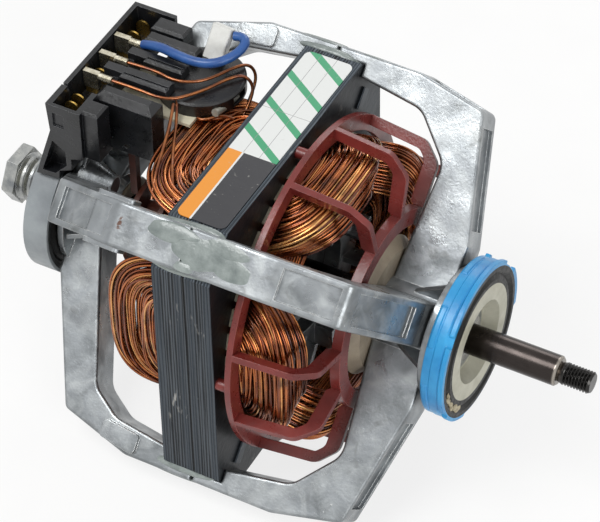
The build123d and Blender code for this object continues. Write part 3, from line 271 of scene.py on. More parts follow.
tone = addNode(tree, "ShaderNodeValToRGB", {0: share}, stops=laminations["tones"])[0]
bands = patches(tree, millimetres(tree, laminations["bandStretch"]), **laminations["bands"])
tone = addNode(tree, "ShaderNodeMix", {0: bands, 6: tone, 7: laminations["blued"]}, data_type="RGBA")[2]
seam = addNode(tree, "ShaderNodeMath", {0: x, 1: laminations["seamAt"], 2: laminations["seamHalf"]},
               operation="COMPARE")[0]
tone = addNode(tree, "ShaderNodeMix", {0: seam, 6: tone, 7: laminations["seam"]}, data_type="RGBA")[2]
streaks = patches(tree, millimetres(tree, laminations["streakStretch"]), **laminations["streaks"])
scuffs = addNode(tree, "ShaderNodeMath", {0: streaks, 1: patches(tree, vector, **laminations["scuffed"])},
                 operation="MULTIPLY")[0]
tone = addNode(tree, "ShaderNodeMix", {0: scuffs, 6: tone, 7: laminations["scuff"]}, data_type="RGBA")[2]
dents = patches(tree, vector, **laminations["dents"])
relief = addNode(tree, "ShaderNodeMath", {0: dents, 1: laminations["dentShare"], 2: stripes},
                 operation="MULTIPLY_ADD")[0]
finish(tree, shader, tone, None, relief, laminations["depth"])

# die-cast aluminium, as cast: satin, with soft bright and dull patches, fine grain, stains and pale scuffs,
# and a painted highlight on its edges
casting = {"cloud": dict(size=24, tones=("#6e7274", "#8a8e91", "#a6aaab"), distortion=0.8),
           "flow": dict(size=12, low=0.46, high=0.66, tones=(0.0, 0.28), distortion=1.2),
           "flowTone": "#babebe",
           "stain": dict(size=8, low=0.58, high=0.74, tones=(0.0, 0.45), detail=5, distortion=0.6),
           "stainTone": "#595956", "pits": dict(size=1.5, low=0.66, high=0.7, detail=5),
           "pitted": dict(size=17, low=0.56, high=0.66, tones=(0.0, 0.9), detail=2), "scuffAndEdgeHighlightTone": "#e4e5e3",
           "soft": dict(size=20, low=0.2, high=0.8, detail=1, distortion=0.3),
           "grain": dict(size=1.2, low=0.2, high=0.8), "grainShare": 0.12,
           "rough": dict(size=11, tones=(0.48, 0.22), distortion=0.5), "depth": 0.35, "edge": 0.7}
castAluminium, tree, shader = newMaterial("dieCastAluminium", 0.85, 0.4)
vector = millimetres(tree)
tone = patches(tree, vector, **casting["cloud"])
flow = patches(tree, vector, **casting["flow"])
tone = addNode(tree, "ShaderNodeMix", {0: flow, 6: tone, 7: casting["flowTone"]}, data_type="RGBA")[2]
stain = patches(tree, vector, **casting["stain"])
tone = addNode(tree, "ShaderNodeMix", {0: stain, 6: tone, 7: casting["stainTone"]}, data_type="RGBA")[2]
pits = patches(tree, vector, **casting["pits"])
pitted = patches(tree, vector, **casting["pitted"])
scuffed = addNode(tree, "ShaderNodeMath", {0: pits, 1: pitted}, operation="MULTIPLY")[0]
tone = addNode(tree, "ShaderNodeMix", {0: scuffed, 6: tone, 7: casting["scuffAndEdgeHighlightTone"]}, data_type="RGBA")[2]

# a rusty brown mark on the near arm: the distance to its middle in half sizes, made ragged, then faded out
rust = {"at": (-119.1, -66.3, 67.0), "half": (1.5, 4.4, 4.4), "tone": "#553423",
        "ragged": dict(size=1.2, tones=(0.0, 0.8), detail=4), "fades": ((0.7, 0.85), (1.0, 0.0))}
fromRust = addNode(tree, "ShaderNodeVectorMath", {0: vector, 1: rust["at"]}, operation="SUBTRACT")[0]
fromRust = addNode(tree, "ShaderNodeVectorMath", {0: fromRust, 1: rust["half"]}, operation="DIVIDE")[0]
fromRust = addNode(tree, "ShaderNodeVectorMath", {0: fromRust}, operation="LENGTH")["Value"]
ragged = patches(tree, vector, **rust["ragged"])
fromRust = addNode(tree, "ShaderNodeMath", {0: fromRust, 1: ragged}, operation="ADD")[0]
rusty = addNode(tree, "ShaderNodeValToRGB", {0: fromRust}, stops=rust["fades"])[0]
tone = addNode(tree, "ShaderNodeMix", {0: rusty, 6: tone, 7: rust["tone"]}, data_type="RGBA")[2]
soft = patches(tree, vector, **casting["soft"])
grain = patches(tree, vector, **casting["grain"])
relief = addNode(tree, "ShaderNodeMath", {0: grain, 1: casting["grainShare"], 2: soft},
                 operation="MULTIPLY_ADD")[0]
rough = patches(tree, vector, **casting["rough"])
# the edges get a painted highlight in the pale scuff tone, in patches like wear
finish(tree, shader, tone, rough, relief, casting["depth"], casting["edge"], casting["scuffAndEdgeHighlightTone"])

# enamelled copper wire: metal under clear brown varnish, each turn a little lighter or darker
copper = {"tones": ((0, "#42190c"), (0.35, "#7d3a1a"), (0.7, "#bd6c32"), (1, "#ecb26a")),
          "grime": dict(size=9, low=0.45, high=0.7, tones=(0.0, 0.7)), "grimeTone": "#1f0d08",
          "rough": dict(size=7, tones=(0.16, 0.34)), "leads": dict(size=5, tones=("#63301a", "#a0602f"))}
copperWire, tree, shader = newMaterial("enamelledCopper", 0.95, 0.22, Coat_Weight=0.7, Coat_Roughness=0.12)
turnTone = addNode(tree, "ShaderNodeAttribute", attribute_name="wireTone")["Fac"]
tone = addNode(tree, "ShaderNodeValToRGB", {0: turnTone}, stops=copper["tones"])[0]
vector = millimetres(tree)
grime = patches(tree, vector, **copper["grime"])
tone = addNode(tree, "ShaderNodeMix", {0: grime, 6: tone, 7: copper["grimeTone"]}, data_type="RGBA")[2]
finish(tree, shader, tone, patches(tree, vector, **copper["rough"]))

# leads of the same wire, without the tone of each turn
leadCopper, tree, shader = newMaterial("enamelledLead", 0.8, 0.3, Coat_Weight=0.5)
finish(tree, shader, patches(tree, millimetres(tree), **copper["leads"]))

# how far the roughness of a plain finish swings, in finer patches, and how its tones and grain are cut
mottle = {"finer": 3, "duller": 1.25, "glossier": 0.8, "tones": dict(low=0.32, high=0.68, detail=4),
          "grain": dict(low=0.2, high=0.8)}


def twoToned(name, dark, light, roughness, size, metallic=0.0, depth=0.05, grain=0.8, edge=0.0, worn=None,
             **sockets):
    # two tones in soft patches of size mm, roughness in finer ones, and a grain of grain mm and depth mm
    material, tree, shader = newMaterial(name, metallic, roughness, **sockets)
    vector = millimetres(tree)
    swing = (min(1.0, roughness * mottle["duller"]), roughness * mottle["glossier"])
    rough = patches(tree, vector, size / mottle["finer"], tones=swing)
    tone = patches(tree, vector, size, tones=(dark, light), **mottle["tones"])
    finish(tree, shader, tone, rough, patches(tree, vector, grain, **mottle["grain"]), depth, edge, worn)
    return material


plainFinishes = {
    # red-brown moulding: satin, with long soft patches and a paler painted highlight on its edges, in patches
    # like wear
    "mouldedPolyester": dict(dark="#5e201d", light="#7b2f2a", roughness=0.3, size=14, grain=1.2, edge=0.5,
                             worn="#b5645c", pieces="winding_cage cage_base_ring cage_nose_ring"),
    # black moulding: soft gloss, with a grey painted highlight on its edges, in patches like wear
    "mouldedPhenolic": dict(dark="#0d0e0f", light="#1c1d20", roughness=0.3, size=12, depth=0.06, grain=1.4,
                            edge=0.4, worn="#6a6c70", pieces="switch_housing"),
    "blackPhenolic": dict(dark="#0d0d0e", light="#1d1d1f", roughness=0.3, size=9, edge=0.4,
                          pieces="thermal_protector"),
    # nylon: plain soft gloss; filled with glass it is duller
    "greyNylon": dict(dark="#7c8185", light="#959b9e", roughness=0.42, size=14, edge=0.4,
                      pieces="rear_mount_band"),
    "naturalNylon": dict(dark="#d3d3cd", light="#ebebe6", roughness=0.3, size=8, edge=0.5,
                         pieces="flag_connector"),
    "creamGlassNylon": dict(dark="#a5a391", light="#bebcab", roughness=0.42, size=10,
                            pieces="front_mount_insert rear_mount_insert"),
    # moulded rubber: near black, with a fine grain and little shine
    "mouldedRubber": dict(dark="#090909", light="#171716", roughness=0.42, size=6, depth=0.1, grain=0.9,
                          Specular_IOR_Level=0.25, pieces="front_mount_rubber rear_mount_rubber"),
    # filled thermoset mouldings: half dull, earthy colours
    "beigePhenolic": dict(dark="#857969", light="#a0937f", roughness=0.5, size=10,
                          pieces="front_bearing_cap rear_bearing_cap"),
    "creamPolyester": dict(dark="#c9c2a6", light="#dcd6bf", roughness=0.5, size=8, pieces="protector_strap"),
    "brownPhenolic": dict(dark="#3b1d14", light="#54291c", roughness=0.42, size=8,
                          pieces="governor_collar switch_lever"),
    # polyester film: thin, pale and glossy
    "polyesterFilm": dict(dark="#b7ae95", light="#d6cfba", roughness=0.3, size=6, pieces="slot_liners"),
    # bright zinc plate: metal with yellowish patches
    "zincPlatedSteel": dict(dark="#7f8284", light="#b3b4b0", roughness=0.3, size=6, metallic=0.95, depth=0.08,
                            edge=0.3,
                            pieces="drive_pulley governor_base governor_weight_top governor_weight_bottom"),
    # bare steel, turned or drawn: grey and shiny
    "turnedSteel": dict(dark="#6d6c6a", light="#98968f", roughness=0.3, size=7, metallic=1.0,
                        pieces="weight_pins lever_pin retaining_ring"),
    "springSteel": dict(dark="#8b8b88", light="#b7b6b0", roughness=0.28, size=4, metallic=1.0,
                        pieces="governor_springs"),
    # sintered bronze: brown metal, half dull from its pores
    "sinteredBronze": dict(dark="#7a5a33", light="#a57f4c", roughness=0.45, size=4, metallic=0.9, depth=0.08,
                           grain=0.4, pieces="front_bearing rear_bearing thrust_washers"),
    # pressed wool felt: no shine, with a rough nap
    "woolFelt": dict(dark="#b3a88f", light="#cfc5ad", roughness=0.95, size=3, depth=0.3, grain=0.5,
                     pieces="front_felt rear_felt"),
    # stamped brass, bare and tin plated: shiny, one yellow and one pale
    "stampedBrass": dict(dark="#9a7838", light="#cdab5e", roughness=0.28, size=3, metallic=0.95,
                         pieces="terminal_tabs contact_leaf"),
    "tinPlatedBrass": dict(dark="#a39c86", light="#d9d3c1", roughness=0.26, size=3, metallic=0.95,
                           pieces="winding_terminals lead_terminal"),
    # silver contact: white metal, a little tarnished
    "silverContact": dict(dark="#a5a5a0", light="#d8d7d0", roughness=0.25, size=2, metallic=1.0,
                          pieces="fixed_contact"),
    # turned rotor sheets: dark, satin metal
    "turnedRotorIron": dict(dark="#3c3b3b", light="#5a5957", roughness=0.4, size=6, metallic=0.9,
                            pieces="rotor_core"),
}
for name, plan in plainFinishes.items():
    pieces = plan.pop("pieces").split()
    dress(twoToned(name, **plan), *pieces)
dress(steelStack, "stator_core")
dress(castAluminium, "front_end_frame", "rear_end_frame", "rotor_cage")
print("plain finishes done:", len(plainFinishes) + 2)

# printed film: white ground, orange and charcoal panel, green slanted bars, thin rules; smooth half gloss
labelPlan = {"middle": stackMiddle, "panelEnd": -13.0, "orangeTo": -4.4, "stripe": -4.1, "stripeHalf": 0.4,
             "barPitch": 17.8, "barShift": 5.3, "barHalf": 1.9, "slope": 0.66, "rulesAlong": (-4.2, 3.0),
             "ruleAcross": 15.0, "ruleHalf": 0.1, "green": "#3f9a6e", "orange": "#e2912e",
             "charcoal": "#2a2a2e", "white": "#dcdedc", "rule": "#8a8a8a", "wornTone": "#b9b7b0",
             "worn": dict(size=1.6, low=0.66, high=0.72, tones=(0.0, 0.35), detail=4),
             "ripple": dict(size=5, low=0.2, high=0.8, detail=2), "depth": 0.04}
labelPrint, tree, shader = newMaterial("printedFilm", 0.0, 0.33)
vector = millimetres(tree)
place = addNode(tree, "ShaderNodeSeparateXYZ", {0: vector})
fromMiddle = addNode(tree, "ShaderNodeMath", {0: place["X"], 1: labelPlan["middle"]}, operation="SUBTRACT")[0]
slant = addNode(tree, "ShaderNodeMath", {0: fromMiddle, 1: labelPlan["slope"], 2: place["Y"]},
                operation="MULTIPLY_ADD")[0]
slant = addNode(tree, "ShaderNodeMath", {0: slant, 1: labelPlan["barShift"]}, operation="ADD")[0]
slant = addNode(tree, "ShaderNodeMath", {0: slant, 1: labelPlan["barPitch"] / 2}, operation="PINGPONG")[0]
bars = addNode(tree, "ShaderNodeMath", {0: slant, 1: labelPlan["barHalf"]}, operation="LESS_THAN")[0]
tone = addNode(tree, "ShaderNodeMix", {0: bars, 6: labelPlan["white"], 7: labelPlan["green"]},
               data_type="RGBA")[2]
rules = [(fromMiddle, at) for at in labelPlan["rulesAlong"]] + [(place["Y"], labelPlan["ruleAcross"])]
for axis, at in rules:
    rule = addNode(tree, "ShaderNodeMath", {0: axis, 1: at, 2: labelPlan["ruleHalf"]}, operation="COMPARE")[0]
    tone = addNode(tree, "ShaderNodeMix", {0: rule, 6: tone, 7: labelPlan["rule"]}, data_type="RGBA")[2]
isOrange = addNode(tree, "ShaderNodeMath", {0: fromMiddle, 1: labelPlan["orangeTo"]},
                   operation="LESS_THAN")[0]
panel = addNode(tree, "ShaderNodeMix", {0: isOrange, 6: labelPlan["charcoal"], 7: labelPlan["orange"]},
                data_type="RGBA")[2]
stripe = addNode(tree, "ShaderNodeMath", {0: fromMiddle, 1: labelPlan["stripe"], 2: labelPlan["stripeHalf"]},
                 operation="COMPARE")[0]
panel = addNode(tree, "ShaderNodeMix", {0: stripe, 6: panel, 7: labelPlan["white"]}, data_type="RGBA")[2]
onPanel = addNode(tree, "ShaderNodeMath", {0: place["Y"], 1: labelPlan["panelEnd"]}, operation="LESS_THAN")[0]
tone = addNode(tree, "ShaderNodeMix", {0: onPanel, 6: tone, 7: panel}, data_type="RGBA")[2]
worn = patches(tree, vector, **labelPlan["worn"])
tone = addNode(tree, "ShaderNodeMix", {0: worn, 6: tone, 7: labelPlan["wornTone"]}, data_type="RGBA")[2]
finish(tree, shader, tone, None, patches(tree, vector, **labelPlan["ripple"]), labelPlan["depth"])
dress(labelPrint, "label")
print("label done")

# run winding: nested arches of wire over both faces of the stack, a little untidy; lengths in mm; layers
# are counted in wires from the crown down, and a gap is the shares without outer layers: (2, 2) is none;
# a pole is its turn about the shaft and the seed of its random draws
runWinding = {"wire": 1.06, "pitch": 1.2, "steps": 40, "sides": 6, "angles": (9.0, 38.0), "slotRadius": 60.0,
              "layerDrop": 1.3, "square": 0.62, "rise": 0.8, "tuck": 2.0, "slip": 0.5, "slipAside": 0.6,
              "lift": 0.35, "drift": 0.03, "outerLayers": (0, 1), "innerLayers": (2, 3.2, 4.4),
              "flanksFrom": 3, "flankShares": (0.0, 0.33, 1.0), "strays": 14, "strayShares": (0.1, 0.95),
              "strayLayers": (-0.9, -0.2), "strayDrift": 0.35, "tone": (0.58, 0.2), "rotorClear": 39.2,
              "front": {"out": 1, "face": stackFront, "reach": (4.0, 29.0), "crown": 62.3, "layers": 17,
                        "gap": (2, 2)},
              "rear": {"out": -1, "face": stackRear, "reach": (4.0, 33.6), "crown": 54.6, "layers": 12,
                       "gap": (0.5, 0.62)},
              "poles": {"top": (0, 11), "near": (90, 12), "bottom": (180, 13), "far": (270, 14)}}


def endTurns(rng, side, shares, layers, drift):
    # a wire is a square arch: sideways w c(t), outward reach s(t), height from the slot's b to the crown by
    # b + (crown - b) |sin t|^rise, with c and s of squareArch; its share of the width drifts along it
    t = np.linspace(0.0, math.pi, runWinding["steps"])
    count = len(shares)
    share = shares[:, None] + drift[:, None] * (t / math.pi - 0.5)
    slip = waves(rng, count, t) * runWinding["slip"]
    lift = waves(rng, count, t) * runWinding["lift"]
    low, high = runWinding["angles"]
    angle = np.radians(low + (high - low) * share)
    least, most = side["reach"]
    reach = least + (most - least) * share + slip * np.sin(t)
    radius = (runWinding["slotRadius"] - layers * runWinding["layerDrop"])[:, None]
    cosine, sine = squareArch(t, runWinding["square"])
    base = radius * np.cos(angle)
    top = (side["crown"] - layers)[:, None]
    height = base + (top - base) * np.abs(np.sin(t)) ** runWinding["rise"] + lift * np.sin(t)
    outward = side["face"] + side["out"] * (reach * sine - runWinding["tuck"])
    return np.stack([outward, radius * np.sin(angle) * cosine + slip * runWinding["slipAside"], height], -1)


def windPole(turn, seed):
    # the skin of the bundle all round: outer layers, both flanks, and strays over the top; a point nearer
    # the shaft's axis than rotorClear moves straight out to it
    rng = np.random.default_rng(seed)
    plan = runWinding
    wire, strays = plan["wire"], plan["strays"]
    paths = []
    for side in (plan["front"], plan["rear"]):
        packed = np.linspace(0, 1, int((side["reach"][1] - side["reach"][0]) / plan["pitch"]))
        outer = packed[(packed < side["gap"][0]) | (packed > side["gap"][1])]
        flanks = np.arange(plan["flanksFrom"], side["layers"]) * wire
        sheets = [outer] * len(plan["outerLayers"]) + [packed] * len(plan["innerLayers"])
        depths = [depth * wire for depth in plan["outerLayers"] + plan["innerLayers"]]
        shares = np.concatenate([*sheets, np.repeat(plan["flankShares"], len(flanks)),
                                 rng.uniform(*plan["strayShares"], strays)])
        layers = np.concatenate([np.repeat(depths, [len(sheet) for sheet in sheets]),
                                 np.tile(flanks, len(plan["flankShares"])),
                                 rng.uniform(*plan["strayLayers"], strays) * wire])
        drift = rng.normal(0, plan["drift"], len(shares))
        drift[-strays:] = rng.uniform(-plan["strayDrift"], plan["strayDrift"], strays)
        paths.append(endTurns(rng, side, np.clip(shares, 0, 1), layers, drift))
    paths = turned(np.concatenate(paths), turn)
    fromAxis = np.hypot(paths[..., 1], paths[..., 2])
    paths[..., 1:] *= np.maximum(1, plan["rotorClear"] / fromAxis)[..., None]
    upward = turned(np.array([[0.0, 0.0, 1.0]]), turn)[0]
    vertices, faces = tubes(paths, wire / 2, plan["sides"], upward)
    tones = np.clip(rng.normal(*plan["tone"], len(paths)), 0, 1)
    return vertices, faces, np.repeat(tones, plan["steps"] * plan["sides"])


for sideName, (turn, seed) in runWinding["poles"].items():
    vertices, faces, tones = windPole(turn, seed)
    meshPiece("run_turns_" + sideName, vertices, faces, copperWire, "stator", "magnet_wire",
              ["run_coil_" + sideName, "run_wire_" + sideName], 0, tones)

# start winding: flatter coils nearer the bore, between the run coils, bent round the shaft's axis
startWinding = {"wire": 1.0, "steps": 36, "sides": 6, "span": 31.0, "spread": (0.5, 0.45), "radius": 43.0,
                "reach": (4.5, 16.6), "square": 0.5, "tuck": 2.0, "slip": 0.12, "rims": (0.0, 1.0, 1.0),
                "tone": (0.4, 0.18), "seed": 21, "poles": (45, 135, 225, 315)}


def arcTurns(rng, face, out, middle):
    # angle = middle + span (first + second spread * share) c(t), outward reach s(t), with c and s of
    # squareArch, and the radius less one wire for each layer: two full layers and the rims of a third
    plan = startWinding
    t = np.linspace(0.0, math.pi, plan["steps"])
    wire = plan["wire"]
    least, most = plan["reach"]
    packed = np.linspace(0, 1, int((most - least) / wire))
    shares = np.concatenate([packed, packed, plan["rims"]])
    layers = np.repeat([0, wire, 2 * wire], [len(packed), len(packed), len(plan["rims"])])
    slip = waves(rng, len(shares), t) * plan["slip"]
    reach = (least + (most - least) * shares)[:, None]
    cosine, sine = squareArch(t, plan["square"])
    narrow, wider = plan["spread"]
    angle = np.radians(middle + plan["span"] * (narrow + wider * shares)[:, None] * cosine)
    radius = (plan["radius"] - layers)[:, None] + slip * np.sin(t)
    outward = face + out * (reach * sine - plan["tuck"] + slip * np.sin(t))
    return np.stack([outward, radius * np.sin(angle), radius * np.cos(angle)], -1)


rng = np.random.default_rng(startWinding["seed"])
shells, tones = [], []
for middle in startWinding["poles"]:
    paths = np.concatenate([arcTurns(rng, stackFront, 1, middle), arcTurns(rng, stackRear, -1, middle)])
    upward = np.array([0, math.sin(math.radians(middle)), math.cos(math.radians(middle))])
    shells.append(tubes(paths, startWinding["wire"] / 2, startWinding["sides"], upward))
    tones.append(np.repeat(np.clip(rng.normal(*startWinding["tone"], len(paths)), 0, 1),
                           startWinding["steps"] * startWinding["sides"]))
meshPiece("start_turns", *joined(shells), copperWire, "stator", "magnet_wire", ["start_winding"], 0,
          np.concatenate(tones))

# ground steel shaft, dark from hardening and oil: long soft highlights, bright at the step, black thread;
# radii and places along the shaft in mm
shaftPlan = {"journal": 6.35, "core": 7.95, "stub": 4.75, "neck": 3.95, "thread": 4.75, "threadDepth": 0.72,
             "pitch": 1.3, "chamfer": 0.8, "shoulder": 40.65, "neckEnd": 43.05, "coreFrom": -163.3,
             "coreTo": -20.6, "stubTo": -183.85, "grooveFrom": -0.45, "grooveTo": 0.85, "groove": 0.6,
             "closed": 0.01, "fade": 0.6, "fadeStop": 0.6, "around": 96, "perPitch": 12, "toneLength": 60.0,
             "tones": ((0.0, "#393432"), (0.5, "#3d3836"), (0.655, "#3b3634"), (0.668, "#a39c93"),
                       (0.69, "#4a4542"), (0.72, "#393837")),
             "smokeStretch": (0.3, 1, 1), "smokeTone": "#2b2725",
             "smoke": dict(size=3, low=0.5, high=0.7, tones=(0.0, 0.5), detail=4),
             "latheStretch": (1, 0.02, 0.02), "lathe": dict(size=0.5, low=0.2, high=0.8, detail=2),
             "rough": dict(size=5, tones=(0.3, 0.18)), "latheDepth": 0.01}
shaftSteel, tree, shader = newMaterial("hardenedShaftSteel", 1.0, 0.3)
vector = millimetres(tree)
x = addNode(tree, "ShaderNodeSeparateXYZ", {0: vector})["X"]
along = addNode(tree, "ShaderNodeMapRange", {0: x, 1: 0.0, 2: shaftPlan["toneLength"]})[0]
tone = addNode(tree, "ShaderNodeValToRGB", {0: along}, stops=shaftPlan["tones"])[0]
smoke = patches(tree, millimetres(tree, shaftPlan["smokeStretch"]), **shaftPlan["smoke"])
tone = addNode(tree, "ShaderNodeMix", {0: smoke, 6: tone, 7: shaftPlan["smokeTone"]}, data_type="RGBA")[2]
lathe = patches(tree, millimetres(tree, shaftPlan["latheStretch"]), **shaftPlan["lathe"])
finish(tree, shader, tone, patches(tree, vector, **shaftPlan["rough"]), lathe, shaftPlan["latheDepth"])


def turnedShaft():
    # radius = the profile's; on the thread it falls from the crest by depth times the triangle wave of
    # x/pitch - angle/turn, faded out at both ends of the thread
    p = shaftPlan
    tip = shaftHigh.x / mm
    stub = shaftLow.x / mm
    rows = int((tip - p["chamfer"] - p["neckEnd"]) / p["pitch"] * p["perPitch"])
    threadX = np.linspace(p["neckEnd"], tip - p["chamfer"], rows)
    profile = [(stub, p["closed"]), (stub, p["stub"] - p["chamfer"]), (stub + p["chamfer"], p["stub"]),
               (p["stubTo"], p["stub"]), (p["stubTo"], p["journal"]), (p["coreFrom"], p["journal"]),
               (p["coreFrom"], p["core"]), (p["coreTo"], p["core"]), (p["coreTo"], p["journal"]),
               (p["grooveFrom"], p["journal"]), (p["grooveFrom"], p["journal"] - p["groove"]),
               (p["grooveTo"], p["journal"] - p["groove"]), (p["grooveTo"], p["journal"]),
               (p["shoulder"] - p["chamfer"], p["journal"]), (p["shoulder"], p["journal"] - p["chamfer"]),
               (p["shoulder"], p["neck"])]
    profile += [(at, p["thread"]) for at in threadX]
    profile += [(tip, p["thread"] - p["chamfer"]), (tip, p["closed"])]
    profile = np.array(profile)
    x, radius = profile[:, :1], profile[:, 1:]
    angle = np.arange(p["around"]) * 2 * math.pi / p["around"]
    wave = np.abs(2 * ((x / p["pitch"] - angle / (2 * math.pi)) % 1.0) - 1)
    fadeIn = np.clip((x - p["neckEnd"]) / p["fade"], 0, 1)
    fadeOut = np.clip((tip - p["chamfer"] * p["fadeStop"] - x) / p["fade"], 0, 1)
    radius = radius - fadeIn * fadeOut * p["threadDepth"] * wave
    grid = np.stack([np.broadcast_to(x, radius.shape), radius * np.sin(angle), radius * np.cos(angle)], -1)
    return grid.reshape(-1, 3), gridFaces(len(profile), p["around"], closeColumns=True)[:, ::-1]


meshPiece("turned_shaft", *turnedShaft(), shaftSteel, "rotor", "shaft_steel", ["shaft"], 35)

# front band of moulded nylon, soft gloss with faint flow marks: pads stand proud of its outside, and its
# front rim rises in flared lips; angles in degrees from the top, lips as (from, to, rise)
bandPlan = {"low": 0.5, "middle": 0.24, "padEvery": 60.0, "padLength": 30.0, "padShift": 12.0,
            "padBlend": 0.6, "backStrip": (0.6, 3.0), "broadFrom": 3.6, "broadShort": 3.0, "blend": 0.2,
            "around": 540, "along": 25, "bore": 32.4, "round": 0.3, "endShare": 0.3, "endDrop": 0.7,
            "lipLength": 2.2, "lipBlend": 1.5, "rimLow": 0.75,
            "lips": ((-158, -119, 0.3), (-112, -52, 0.5), (-46, 46, 0.7), (66, 104, 1.2), (128, 141, 0.5)),
            "nub": {"at": 50.0, "half": 3.0, "height": 1.2, "side": 0.8, "length": 2.4, "slope": 0.4}}
blueNylon = twoToned("blueNylon", "#177dbb", "#369fd6", 0.34, 16, grain=3.0)


def smoothStep(value, low, high):
    # k^2 (3 - 2k), where k runs from 0 at low to 1 at high
    k = np.clip((value - low) / (high - low), 0, 1)
    return k * k * (3 - 2 * k)


def between(value, start, end, blend):
    # 1 inside start to end and 0 outside, by a smooth step of length blend at each end
    return smoothStep(value, start, start + blend) * smoothStep(-value, -end, blend - end)


def bandSurface():
    # outer radius = crest less a dip that is nought on the pads, a middle one on the broad strip and, on the
    # rim, rimLow less the flare of the lips; the rings run from the bore round the outside and back
    p = bandPlan
    back, face, crest = bandLow.x / mm, bandHigh.x / mm, bandHigh.z / mm
    ends = p["round"] * p["endShare"]
    outerX = np.concatenate([[back + ends], np.linspace(back + p["round"], face - p["round"], p["along"]),
                             [face - ends]])
    degrees = np.arange(p["around"]) * 360 / p["around"]
    phase = (degrees + p["padShift"]) % p["padEvery"] - p["padEvery"] / 2
    onPad = smoothStep(p["padLength"] / 2 - np.abs(phase), -p["padBlend"], p["padBlend"])
    x = outerX[:, None]
    stripFrom, stripTo = p["backStrip"]
    backStrip = between(x, back + stripFrom, back + stripTo, p["blend"]) * onPad
    broad = between(x, back + p["broadFrom"], face - p["broadShort"], p["blend"])
    signed = (degrees + 180) % 360 - 180
    flare = sum((rise + p["rimLow"]) * between(signed, low, high, p["lipBlend"])
                for low, high, rise in p["lips"])
    inRim = smoothStep(x, face - p["lipLength"] - p["blend"], face - p["lipLength"])
    n = p["nub"]
    nub = n["height"] * smoothStep(n["half"] - np.abs(signed - n["at"]), 0, n["side"])
    nub = nub * smoothStep(-x, -back - n["length"], n["slope"] - back - n["length"])
    dip = p["low"] * (1 - np.maximum(backStrip, broad * (1 - p["middle"] / p["low"])))
    dip = dip * (1 - inRim) + (p["rimLow"] - flare) * inRim - nub
    edge = np.zeros(len(outerX))
    edge[[0, -1]] = p["round"] * p["endDrop"]
    bore = np.full((2, p["around"]), p["bore"])
    rows = np.concatenate([bore, crest - dip - edge[:, None]])
    rowX = np.concatenate([[face, back], outerX])
    angle = np.radians(degrees)
    x = np.broadcast_to(rowX[:, None], rows.shape)
    grid = np.stack([x, rows * np.sin(angle), rows * np.cos(angle)], -1)
    return grid.reshape(-1, 3), gridFaces(len(rowX), p["around"], closeRows=True, closeColumns=True)[:, ::-1]


meshPiece("padded_band", *bandSurface(), blueNylon, "stator", "front_band", ["front_mount_band"], 30)

# cured epoxy on the corners of the stack: grey-green and glossy, in uneven beads; a smear is its place
# along the stack, aside and from the axis, then its half sizes the same three ways
glue = {"length": 14.0, "width": 3.0, "height": 2.0, "aside": 8.2, "corner": 127.0 / math.sqrt(2),
        "lengths": (0.75, 1.0), "widths": (0.7, 1.0), "shift": 2, "rows": 17, "columns": 32, "ragged": 0.18,
        "smearRagged": 0.3, "ripple": 0.04, "mostSwell": 1.25, "roundness": 0.8, "pole": 0.001, "waves": 5,
        "seed": 31, "corners": (45, 135, 225, 315),
        "smears": ((-7.0, 4.4, 94.0, 11.0, 3.9, 1.0), (-3.0, 8.4, 90.2, 13.0, 2.2, 2.2),
                   (6.0, -0.5, 94.0, 14.0, 7.2, 0.6), (0.0, -6.6, 93.95, 4.5, 2.1, 0.75),
                   (16.0, 4.5, 94.0, 11.0, 3.7, 0.55), (23.0, -1.0, 94.0, 11.0, 5.4, 0.45))}
curedResin = twoToned("curedEpoxy", "#6a7371", "#949c99", 0.2, 7, depth=0.15, grain=4.0)


def bead(rng, middle, size, ragged):
    # a superellipsoid: half sizes times f(u) cos v, f(u) sin v and sin u, with f(u) = cos(u)^roundness,
    # its outline swelled by slow waves
    u = np.linspace(-math.pi / 2, math.pi / 2, glue["rows"])[:, None]
    v = np.arange(glue["columns"]) * 2 * math.pi / glue["columns"]
    swell = 1 + ragged * waves(rng, 1, v, glue["waves"])[0] * np.cos(u)
    swell = swell + glue["ripple"] * waves(rng, 1, 2 * u[:, 0])[0][:, None]
    swell = np.minimum(swell, glue["mostSwell"])
    flat = np.maximum(np.cos(u), glue["pole"]) ** glue["roundness"]
    grid = np.stack([size[0] * flat * np.cos(v) * swell, size[1] * flat * np.sin(v) * swell,
                     size[2] * np.sin(u) * np.ones_like(v)], -1)
    return grid.reshape(-1, 3) + middle, gridFaces(glue["rows"], glue["columns"], closeColumns=True)


rng = np.random.default_rng(glue["seed"])
shells = []
for turn in glue["corners"]:
    for side in (-1, 1):
        size = (glue["length"] * rng.uniform(*glue["lengths"]), glue["width"] * rng.uniform(*glue["widths"]),
                glue["height"])
        x = stackMiddle + rng.uniform(-glue["shift"], glue["shift"])
        vertices, faces = bead(rng, np.array([x, side * glue["aside"], glue["corner"]]), size, glue["ragged"])
        shells.append((turned(vertices, turn), faces))
    for along, aside, radius, *size in glue["smears"]:
        x = stackMiddle + along + rng.uniform(-glue["shift"], glue["shift"])
        middle = np.array([x, aside * (1 if turn < 180 else -1), radius])
        vertices, faces = bead(rng, middle, size, glue["smearRagged"])
        shells.append((turned(vertices, turn), faces))
meshPiece("glue_beads", *joined(shells), curedResin, "stator", "epoxy", ["corner_bonds"], 0)

